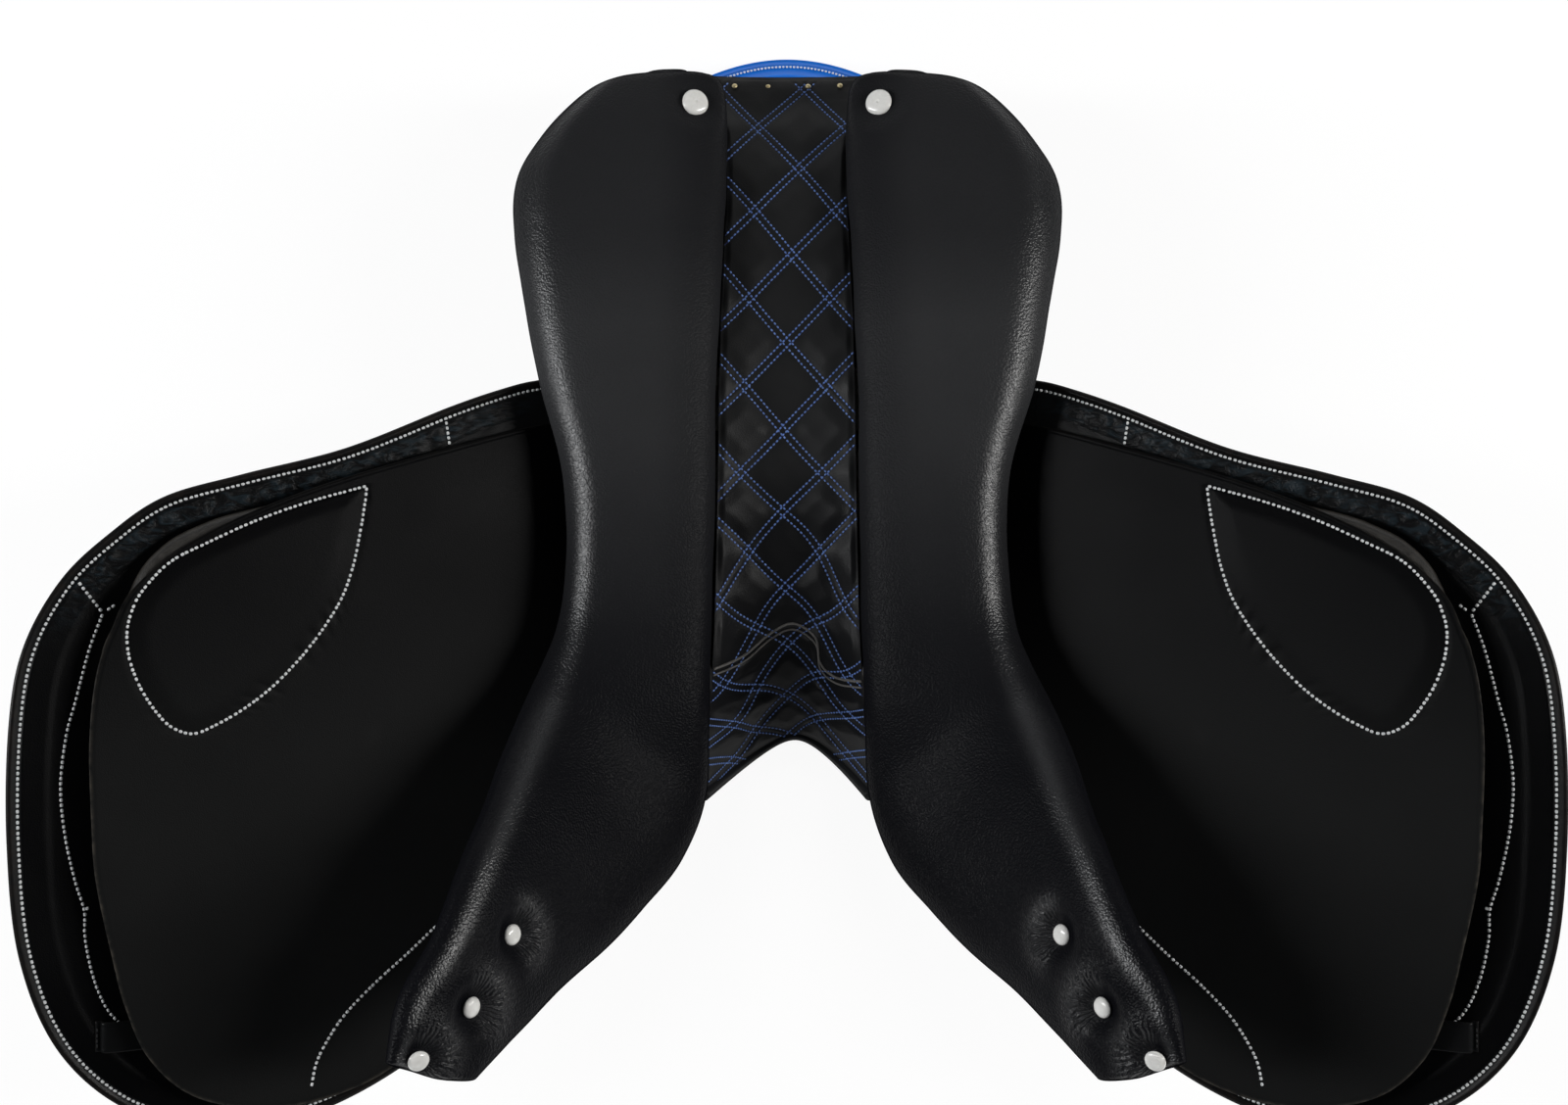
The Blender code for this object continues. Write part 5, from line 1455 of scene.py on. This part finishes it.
def make_sweat_flap(side_name, side):
    """The sweat flap, which lies next to the horse and carries the blocks."""
    outline = clear_of_seat(closed_curve(SWEAT_FLAP, FLAP_STEP))
    grid, gap = slab_rings(outline, SWEAT_FLAP_MIDDLE, sweat_low, sweat_high, SWEAT_THICKNESS / 2 * MM,
                           sweat_upper)
    upward = np.arange(grid.shape[0])[:, None] < len(grid) // 2
    tear = open_curve(TEARDROP, 0.004)[:-1]
    depth = inside_distance(grid[..., :2], tear)
    raised = TEAR_SWELL * fade(depth, -0.001, 0.012) - TEAR_GROOVE * np.exp(-(depth / 0.0009) ** 2)
    grid[..., 2] += raised * upward
    # Painted shade: the sweat flap is darkened towards its upper end by the panel, from y = -0.17 to 0.02 m.
    masks = {"rim": 1 - fade(gap, 0.0008, 0.0022), "shade": SWEAT_PAINTED_SHADE * fade(grid[..., 1], -0.17, 0.02)}
    masks = {key: mask_with_ends(values) for key, values in masks.items()}
    return add_piece(side_name + "_sweat_flap_hide", mirrored(with_ends(grid), side),
                     ring_faces(*grid.shape[:2]), sweat_leather, side_name + "_sweat",
                     [side_name + "_sweat_flap"], masks)


sweat_flaps = {name: make_sweat_flap(name, side) for name, side in SIDES}
print("sweat flaps:", [len(made.data.vertices) for made in sweat_flaps.values()], "points")

# %% [markdown]
# White thread follows the cut edge of the outer flap, on both of its faces.  Further rows close the
# facing, and on the sweat flap a teardrop and an arc hold the blocks.  A painted row would not bend
# with the flap, so the same beads of thread are used.

# %% White stitching
WHITE_PITCH = 0.0031
WHITE_SHARE = 0.66
WHITE_THREAD = 0.0009
EDGE_ROW_START = -0.06
EDGE_ROW_END = 0.66
INNER_STITCH = [(396.4, -35.2), (403.2, -56.6), (410.0, -86.4), (414.3, -104.8), (417.2, -132.9),
                (415.3, -161.1), (410.0, -189.7), (405.6, -206.5), (405.2, -222.4), (401.3, -244.9),
                (394.5, -264.3), (384.2, -278.6)]
KNEE_STITCH = [(204, -219), (215.2, -229.0), (231.0, -244.1), (248.2, -259.5), (263.6, -275.3),
               (273.0, -288.8), (280.2, -303.6), (283, -318)]
SHORT_ROWS = [[(408.5, -17.0), (402.5, -26.0), (396.4, -35.2)], [(390.1, -30.2), (396.4, -35.2)],
              [(405.6, -206.5), (401.3, -204.0)], [(212.1, 82.0), (211.0, 74.0), (209.9, 66.5)]]


def on_floor(path, side):
    """A path of X and Y as places at Z 0, on its side of the saddle."""
    return mirrored(np.concatenate([path, np.zeros((len(path), 1))], axis=1), side)


def edge_row(outline, side):
    """The part of the outer flap's edge that is sewn, between two shares of the outline's length."""
    row = np.roll(inset(outline, EDGE_STITCH), -int(EDGE_ROW_START * len(outline)), axis=0)
    return on_floor(row[:int((EDGE_ROW_END - EDGE_ROW_START) * len(row))], side)


def sewn(name, rows, finish, body, radius=WHITE_THREAD, jitter=0.06):
    """One piece of thread for several rows."""
    points, faces = bead_rows(rows, WHITE_PITCH, WHITE_SHARE, radius, jitter=jitter)
    return add_piece(name, points, faces, finish, body)


def flat_path(points, side):
    """A smooth flat path in metres, on its side."""
    return on_floor(open_curve(points, 0.0012), side)


for side_name, side in SIDES:
    flap, outline = outer_flaps[side_name]
    surface = tree_of(flap)
    row = edge_row(outline, side)
    rows = [dropped(surface, row), dropped(surface, row, from_below=True)]
    rows.append(dropped(surface, flat_path(INNER_STITCH, side)))
    rows += [dropped(surface, flat_path(short, side)) for short in SHORT_ROWS]
    stitches = sewn(side_name + "_flap_stitching", rows, white_thread, None)
    for piece in (flap, stitches):
        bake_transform(piece)
    surface = tree_of(sweat_flaps[side_name])
    rows = [dropped(surface, flat_path(TEARDROP, side)), dropped(surface, flat_path(KNEE_STITCH, side))]
    sewn(side_name + "_sweat_stitching", rows, white_thread, side_name + "_sweat",
         jitter=0.12)
    count = len(stitches.data.vertices) // (len(BEAD_RINGS) * BEAD_SIDES)
    print(side_name, "outer flap:", count, "stitches")

# %% [markdown]
# Two foam blocks in leather covers lie between the flaps, one at the thigh and one at the knee.  A
# cube with rounded edges would have to be bent to fit.  Each block fills the room between the two
# flaps, so the slab of rings makes it from their heights, and a wide edge rounds its rim.

# %% Blocks
THIGH_BLOCK = [(236, 43), (264, 39), (290, 33), (315, 26.5), (333, 21), (346, 15), (357, 8.5), (366, 0),
               (372, -8), (376, -16), (381, -29), (387, -43), (392, -58), (393, -84), (375, -104),
               (346, -110), (314, -97), (284, -66), (258, -30), (240, 8)]
KNEE_BLOCK = [(212, -226), (240, -243), (268, -268), (290, -300), (282, -318), (252, -305), (218, -276),
              (203, -246)]
LAYER_GAP = 0.0003
BLOCK_STEP = 0.002
BLOCK_EDGE = 0.009


def block_low(flat):
    """Just above the outer flap."""
    return outer_high(flat) + LAYER_GAP * 2


def block_high(flat):
    """Just below the sweat flap."""
    return sweat_low(flat) - LAYER_GAP


def make_block(name, points, centre, side_name, side):
    """A moulded foam block in its leather cover."""
    outline = closed_curve(points, BLOCK_STEP)
    grid, gap = slab_rings(outline, centre, block_low, block_high, BLOCK_EDGE, inner_steps=10)
    grid[..., 2] -= np.abs(ripple(grid, 60.0, 11.0 + side, 0.0004))
    seam = mask_with_ends(1 - fade(np.abs(gap - 0.0035), 0.0, 0.0012))
    made = add_piece(side_name + name + "_pad", mirrored(with_ends(grid), side),
                     ring_faces(*grid.shape[:2]), block_leather, side_name + "_sweat",
                     [side_name + name], {"shade": seam * 0.6})


for side_name, side in SIDES:
    make_block("_thigh_block", THIGH_BLOCK, (322, -40), side_name, side)
    make_block("_knee_block", KNEE_BLOCK, (250, -270), side_name, side)

# %% [markdown]
# Straps are strips of thick leather whose long edges are rounded.  The billets have pointed ends
# and a row of punched holes, which a boolean could cut.  Pressing them in as deep dents keeps the
# strap a plain grid, and it looks the same from where the holes are seen.

# %% A strap
HOLE_RADIUS = 2.2
HOLE_DEPTH = 0.85
STRAP_EDGE = 0.0014
LEAST_HALF = 0.00005


def strip(path, half, thickness, side, step=0.0008, holes=(), tip=0.0):
    """Points and faces of a strap, and how near each point is to a long edge."""
    path = even_steps(path, step)
    run = run_along(path)
    ahead = np.gradient(path, axis=0)
    ahead /= np.linalg.norm(ahead, axis=1)[:, None]
    across = np.cross(np.array([0.0, 0.0, 1.0]), ahead)
    across /= np.linalg.norm(across, axis=1)[:, None]
    up = np.cross(ahead, across)
    end = np.clip((run[-1] - run) / tip, 0.02, 1) if tip else np.ones(len(run))
    reach = half * np.sqrt(1 - (1 - end) ** 2)
    count = max(10, int(2 * half / step))
    u = np.sin(np.linspace(-1, 1, count) * np.pi / 2)
    flat = path[:, None, :] + across[:, None, :] * (reach[:, None] * u[None, :])[..., None]
    edge = np.minimum(reach[:, None] * (1 - np.abs(u))[None, :], np.minimum(run, run[-1] - run)[:, None])
    soft = np.sqrt(np.clip(1 - (1 - np.minimum(edge / STRAP_EDGE, 1)) ** 2, 0.0, 1))
    rise = thickness / 2 * soft * (1 - 0.12 * np.exp(-((edge - 0.0028) / 0.0006) ** 2))
    for place in holes:
        away = np.hypot(run[:, None] - place, (reach[:, None] * u[None, :]))
        rise = rise * (1 - HOLE_DEPTH * (1 - fade(away, HOLE_RADIUS * MM * 0.7, HOLE_RADIUS * MM)))
    rise = rise + LEAST_HALF
    grids = [flat + up[:, None, :] * rise[..., None], flat - up[:, None, :] * rise[..., None]]
    points = mirrored(np.concatenate([grid.reshape(-1, 3) for grid in grids]), side)
    return points, sheet_faces(len(path), count), np.concatenate([(1 - soft).ravel()] * 2)


print("a hole is", 2 * HOLE_RADIUS, "mm wide")

# %% [markdown]
# Three girth billets hang between the flaps on each side, and a keeper on the outer flap is a short
# strap that is bent over what it holds.  A curve with a flat profile could make them, but then the
# holes and the thread would need their places by hand.  Here all follow from the strap's path.

# %% Billets and keepers
BILLET_HALF = 12.5
BILLET_THICKNESS = 4.0
BILLET_TIP = 0.016
BILLET_THREAD_X = 0.0098
FIRST_HOLE = 0.026
HOLE_SPACING = 16.0
HOLES = 8
FINE_THREAD = 0.0004
KEEPER_X = 0.383
KEEPER_Y = -0.280
KEEPER_HALF = 0.009
KEEPER_THICKNESS = 0.002
KEEPER_THREAD_X = (0.3675, 0.3985)


def billet_path(index):
    """The middle of one billet on the right, from the bend to its tip."""
    f = np.linspace(0, 1, 30)
    x = 0.184 + 0.192 * f
    y = -0.052 - 0.036 * index - 0.096 * f
    flat = np.stack([x, y], axis=1)
    return np.stack([x, y, sweat_low(flat) - LAYER_GAP - BILLET_THICKNESS / 2 * MM], axis=1)


KEEPER_PROFILE = [(-17, 0), (-13.6, 0), (-9.35, 6), (9.35, 6), (13.6, 0), (17, 0)]


def keeper_path():
    """The middle of the keeper's strap, up and over what it holds."""
    profile = open_curve(KEEPER_PROFILE, 0.0006)
    x = KEEPER_X + profile[:, 0]
    flat = np.stack([x, np.full(len(x), KEEPER_Y)], axis=1)
    height = outer_high(flat) + LAYER_GAP + 0.001 + np.maximum(profile[:, 1], 0)
    return np.stack([x, flat[:, 1], height], axis=1)


for side_name, side in SIDES:
    for index in range(3):
        path = billet_path(index)
        length = np.linalg.norm(np.diff(path, axis=0), axis=1).sum()
        holes = [length - (FIRST_HOLE + HOLE_SPACING * MM * k) for k in range(HOLES)]
        points, faces, rim = strip(path, BILLET_HALF * MM, BILLET_THICKNESS * MM, side, holes=holes,
                                   tip=BILLET_TIP)
        billet = add_piece("%s_girth_strap_%d" % (side_name, index + 1), points, faces, strap_leather,
                           side_name + "_billets",
                           ["%s_billet_%d" % (side_name, index + 1)], {"rim": rim})
        surface = tree_of(billet)
        rows = []
        for off in (-BILLET_THREAD_X, BILLET_THREAD_X):
            line = path[1:-3] + np.array([0, off, 0])
            rows.append(dropped(surface, mirrored(line, side)))
        sewn("%s_girth_strap_thread_%d" % (side_name, index + 1), rows, black_thread,
             side_name + "_billets", radius=FINE_THREAD)
    points, faces, rim = strip(keeper_path(), KEEPER_HALF, KEEPER_THICKNESS, side, step=0.0006)
    keeper = add_piece(side_name + "_keeper_strap", points, faces, flap_leather,
                       side_name + "_outer_flap", [side_name + "_flap_keeper"],
                       {"rim": rim})
    surface = tree_of(keeper)
    rows = []
    for x in KEEPER_THREAD_X:
        line = np.array([(x, KEEPER_Y + y, 0) for y in np.linspace(-0.007, 0.007, 12)])
        rows.append(dropped(surface, mirrored(line, side)))
    sewn(side_name + "_keeper_thread", rows, black_thread, side_name + "_outer_flap",
         radius=FINE_THREAD)
print("billets on each side: 3, with", HOLES, "holes each")

# %% [markdown]
# The seat lies underneath: leather over foam, over webbing that is stretched across the tree.  Each
# layer could be modelled by itself, and they would soon cut into each other.  Here they all follow
# one surface, given by rows across the saddle, and each of them is that surface at two depths.

# %% Surface of the seat
SEAT_ROWS = [(-119, 52, 36, 57, 112, 2.0), (-124, 56, 33, 40, 104, 2.0), (-127, 60, 28, 20, 92, 2.1),
             (-125, 64, 22, 5.5, 84, 2.2), (-116, 67, 15, -0.5, 80, 2.3), (-103, 70, 9, 0.5, 80, 2.2),
             (-85, 74, 5, 14, 85, 2.0), (-60, 80, 3, 35, 92, 1.9), (-30, 86, 1, 51, 97, 1.9),
             (0, 92, 0, 62, 100, 1.9), (40, 106, 0, 73, 101, 1.9), (80, 120, 5, 78, 100, 2.0),
             (120, 136, 12, 79, 96, 2.0), (160, 148, 22, 76, 90, 2.1), (200, 155, 32, 68, 82, 2.2),
             (240, 157, 45, 55, 73, 2.4), (275, 155, 58, 36, 65, 2.6), (305, 151, 70, 15, 59, 2.9),
             (322, 148, 77, 3.5, 57, 3.2), (331, 145, 81, 0.2, 56, 3.4), (338, 143, 84, -0.5, 55, 3.5)]
LAST_ROW = len(SEAT_ROWS) - 1
LEAST_EDGE = 0.35
ROW_EDGE = 0.22
SIDE_EDGE = 0.02


def seat_surface(u, row):
    """The seat's outer surface at u from -1 to 1 across, and a row counted from the front."""
    u, row = np.broadcast_arrays(np.asarray(u, float), np.asarray(row, float))
    y0, half, sweep, centre, edge, flat = np.moveaxis(curve_through(SEAT_ROWS, row / LAST_ROW), -1, 0)
    y = y0 - sweep * arch_bow(u, 1 - fade(row, 1.5, 5))
    z = centre + (edge - centre) * np.abs(u) ** flat
    return np.stack([half * u, y, z], axis=-1) * MM


def seat_point(u, row, depth):
    """A place at a depth in millimetres under the seat's surface, square to it."""
    across = seat_surface(np.asarray(u) + 0.002, row) - seat_surface(np.asarray(u) - 0.002, row)
    ahead = seat_surface(u, np.minimum(row + 0.02, LAST_ROW)) - seat_surface(u, np.maximum(row - 0.02, 0))
    square = np.cross(across, ahead)
    square /= np.maximum(np.linalg.norm(square, axis=-1), 1e-12)[..., None]
    return seat_surface(u, row) + square * np.asarray(depth)[..., None] * MM


def seat_layer(name, start, end, rows, columns, finish, slot, replaced, relief):
    """A layer between two depths, over a range of rows and of u, with a relief on its inner face."""
    row = np.linspace(*rows[:2], rows[2])[:, None]
    u = np.linspace(*columns[:2], columns[2])[None, :]
    shape = (rows[2], columns[2])
    edge = np.minimum(np.minimum(row - rows[0], rows[1] - row) / ROW_EDGE,
                      np.minimum(u - columns[0], columns[1] - u) / SIDE_EDGE)
    soft = np.sqrt(np.clip(1 - (1 - np.minimum(edge, 1)) ** 2, 0, 1))
    middle, half = (start + end) / 2, (end - start) / 2 * (LEAST_EDGE + (1 - LEAST_EDGE) * soft)
    bumps = relief(u, row) * soft
    grids = [seat_point(u, row, np.broadcast_to(middle + half, shape)),
             seat_point(u, row, np.broadcast_to(middle - half + bumps, shape))]
    for grid in grids:
        grid[..., 2] = np.maximum(grid[..., 2], 0.0)
    points = np.concatenate([grid.reshape(-1, 3) for grid in grids])
    return add_piece(name, points, sheet_faces(*shape), finish, "root", [replaced])


print("the seat's middle is", round(seat_surface(0, 11)[2] / MM), "mm above the floor at row 11")

# %% [markdown]
# The cover has two welts along the seat, with a groove and a row of black stitches at each side,
# and the foam below it is faintly wavy.  A bump map could draw the welts, but the rows of thread
# have to lie in real grooves, so a relief moves the layer's points.

# %% Seat cover, foam and webbing
COVER_THICKNESS = 3.0
FOAM_DEPTHS = (3.3, 14.0)
WEB_THICKNESS = 0.8
WELT_PLACE = 0.80
WELT_ROW_OFF = 0.035
SEAT_THREAD = 0.0005


def seat_relief(u, row):
    """Grooves beside the seat's two welts, in millimetres into the leather."""
    away = (np.abs(u) - WELT_PLACE) * 100
    grooves = 0.9 * np.exp(-((np.abs(away) - 2.2) / 0.8) ** 2)
    return (grooves - 0.4 * np.exp(-(away / 1.2) ** 2)) * fade(row, 4, 6)


def waves(u, row):
    """The foam's faint waves."""
    return 0.4 * np.sin(row * 9.0) * np.sin(u * 28.0)


def ribs(u, row):
    """The ribs of woven webbing."""
    return 0.10 * np.sin(u * 300.0) + 0.06 * np.sin(row * 60.0)


seat = seat_layer("seat_leather_cover", 0.0, COVER_THICKNESS, (0.0, LAST_ROW, 300), (-1.0, 1.0, 160),
                  seat_leather, "seat_leather", "seat_cover", seat_relief)
seat_tree = tree_of(seat)
rows = []
for welt in (-WELT_PLACE, WELT_PLACE):
    for off in (-WELT_ROW_OFF, WELT_ROW_OFF):
        line = seat_surface(welt + off, np.linspace(5.5, 19.6, 400))
        rows.append(dropped(seat_tree, line, from_below=True))
sewn("seat_stitching", rows, black_thread, "root", radius=SEAT_THREAD)
cushion = seat_layer("seat_foam_pad", *FOAM_DEPTHS, (5.0, 19.0, 160), (-0.86, 0.86, 120), foam,
                     "latex_foam", "seat_foam", waves)

WEBS = [("long_web_middle", 14.3, (6.0, 16.0, 200), (-0.28, 0.28, 90)),
        ("long_web_right", 14.3, (6.0, 16.0, 200), (0.42, 0.55, 30)),
        ("long_web_left", 14.3, (6.0, 16.0, 200), (-0.55, -0.42, 30)),
        ("cross_web_front", 15.2, (6.0, 8.0, 60), (-0.55, 0.55, 120)),
        ("cross_web_middle", 15.2, (11.0, 12.0, 40), (-0.55, 0.55, 120)),
        ("cross_web_rear", 15.2, (15.0, 16.0, 40), (-0.55, 0.55, 120))]
for name, start, rows, columns in WEBS:
    seat_layer(name, start, start + WEB_THICKNESS, rows, columns, webbing, "nylon_web", "seat_webbing", ribs)
print("seat:", len(seat.data.vertices), "points in the cover,", len(WEBS), "webs")

# %% [markdown]
# The cantle's rear face is bound in blue leather, with a seam groove pressed into it, darkened by
# painted shade, and a row of white stitches beside the seam.  A curve could carry the section round
# the rim, but its ends would tilt.  So the section is placed at each step along the rim, square to it
# and always upright.

# %% Cantle
BINDING = [(0.5, 2.5), (0.9, 8), (0.6, 15), (-1, 23), (-3.6, 30), (-7, 35.5), (-8.4, 36.6), (-9.2, 36.2),
           (-9.6, 37.4), (-10.0, 39.2), (-11.5, 42.5), (-14.5, 48), (-18, 53.2), (-20.5, 56.2),
           (-21.6, 55.6), (-21.5, 53.5), (-10.5, 40), (-3, 28), (-0.5, 14), (0, 4)]
BINDING_PAINTED_SHADE = [0, 0, 0, 0, 0, 0.1, 0.5, 1.0, 1.0, 0.6, 0.1, 0, 0, 0, 0, 0, 0, 0, 0, 0]
BINDING_HALF = 0.62
BINDING_STEPS = 200
CANTLE_ROW = (-11.2, 42.0)
CANTLE_PITCH = 0.0024
CANTLE_SHARE = 0.62


def rim_frame(u):
    """The cantle's rim at u and the level direction out of it."""
    rim = seat_surface(u, float(LAST_ROW))
    along = seat_surface(u + 0.01, float(LAST_ROW)) - seat_surface(u - 0.01, float(LAST_ROW))
    out = np.stack([-along[..., 1], along[..., 0], np.zeros(along.shape[:-1])], axis=-1)
    return rim, out / np.linalg.norm(out, axis=-1)[..., None]


rim, out = rim_frame(np.linspace(-BINDING_HALF, BINDING_HALF, BINDING_STEPS))
section = np.array(BINDING)
grid = rim[:, None, :] + out[:, None, :] * (section[:, 0] * MM)[None, :, None]
grid = grid + np.array([0.0, 0.0, MM]) * section[None, :, 1, None]
# Painted shade in the seam's groove, by the mask on each point of the section.
shade = mask_with_ends(np.tile(BINDING_PAINTED_SHADE, BINDING_STEPS))
add_piece("cantle_face", with_ends(grid), ring_faces(*grid.shape[:2]), blue_leather, "root",
          ["cantle_binding"], {"shade": shade})
row = rim + out * (CANTLE_ROW[0] * MM) + np.array([0, 0, CANTLE_ROW[1] * MM])
lean = out * 0.5 + np.array([0.0, 0.0, 0.85])
points, faces = bead_rows([(row, lean)], CANTLE_PITCH, CANTLE_SHARE, WHITE_THREAD, sink=-0.2)
add_piece("cantle_stitching", points, faces, white_thread, "root")
print("cantle:", grid.shape[0], "sections of", grid.shape[1], "points")

# %% [markdown]
# The skirts are small flaps over the stirrup bars.  They start at the seat's edge, dip under the
# bar and rise along the outer flap.  Two bends in a flat sheet could do this, but a height that is
# a smooth function of the distance from the seat has no kink where the bends meet.

# %% Skirts
SKIRT = [(68, -131), (72, -113), (76, -85), (82, -52), (87, -26), (92.8, -1), (101, 17), (112, 28),
         (127, 32), (144, 27), (160, 6), (172, -34), (174, -76), (162, -112), (138, -134), (110, -142),
         (86, -138)]
SKIRT_MIDDLE = (125, -45)
SKIRT_THICKNESS = 3.5
SKIRT_THREAD = 0.0006


def skirt_middle(flat):
    """Middle of the skirt above the floor, in metres."""
    y = flat[..., 1] / MM
    edge_y = [r[0] - r[2] for r in SEAT_ROWS[3:14]]
    run = flat[..., 0] - np.interp(y, edge_y, [r[1] * MM for r in SEAT_ROWS[3:14]]) - 0.0006
    edge = np.interp(y, edge_y, [r[4] * MM for r in SEAT_ROWS[3:14]])
    drop = (edge - 0.0780) * np.exp(-np.maximum(run, 0.0) / 0.0045)
    return 0.0770 + drop + 7.8 * np.maximum(0.0, flat[..., 0] - 0.112) ** 2


for side_name, side in SIDES:
    outline = clear_of_seat(closed_curve(SKIRT, 0.002))
    half = SKIRT_THICKNESS / 2 * MM
    grid, gap = slab_rings(outline, SKIRT_MIDDLE, lambda flat: skirt_middle(flat) - half,
                           lambda flat: skirt_middle(flat) + half, half, lower=outer_lower, inner_steps=16)
    rim_mask = mask_with_ends(1 - fade(gap, 0.0015, 0.003))
    skirt = add_piece(side_name + "_skirt_hide", mirrored(with_ends(grid), side),
                      ring_faces(*grid.shape[:2]), seat_leather, side_name + "_skirt",
                      [side_name + "_skirt"], {"rim": rim_mask})
    row = on_floor(inset(outline, EDGE_STITCH), side)
    row = row[np.abs(row[:, 0]) > 0.1]
    sewn(side_name + "_skirt_stitching", [dropped(tree_of(skirt), row, from_below=True)], black_thread,
         side_name + "_skirt", radius=SKIRT_THREAD)
    print(side_name, "skirt:", grid.shape[0], "rings of", grid.shape[1], "points")

# %% [markdown]
# The tree, the steel plate and bars, the catches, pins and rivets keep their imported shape.  Sharp
# edges would give away that nobody filed them, so a small bevel rounds the steel and the wood.  A
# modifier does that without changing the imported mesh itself.

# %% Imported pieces
EDGE_ROUND = 0.0004
EDGE_ANGLE = math.radians(40)
FINISHES = {"panel_leather": panel_leather, "flap_leather": flap_leather, "seat_leather": seat_leather,
            "strap_leather": strap_leather, "blue_leather": blue_leather, "latex_foam": foam,
            "nylon_web": webbing, "laminated_wood": wood, "steel": steel, "brass": brass,
            "pearl_nickel": pearl}
for part in frame["record"]["subparts"]:
    piece = nodes[part["node"]]
    for place in piece.material_slots:
        place.material = FINISHES[part["material_slot"]]
    if part["material_slot"] in ("steel", "laminated_wood"):
        soft_edge = piece.modifiers.new("soft_edge", "BEVEL")
        soft_edge.width = EDGE_ROUND
        soft_edge.segments = 2
        soft_edge.limit_method = "ANGLE"
        soft_edge.angle_limit = EDGE_ANGLE
print("finishes:", len(FINISHES))
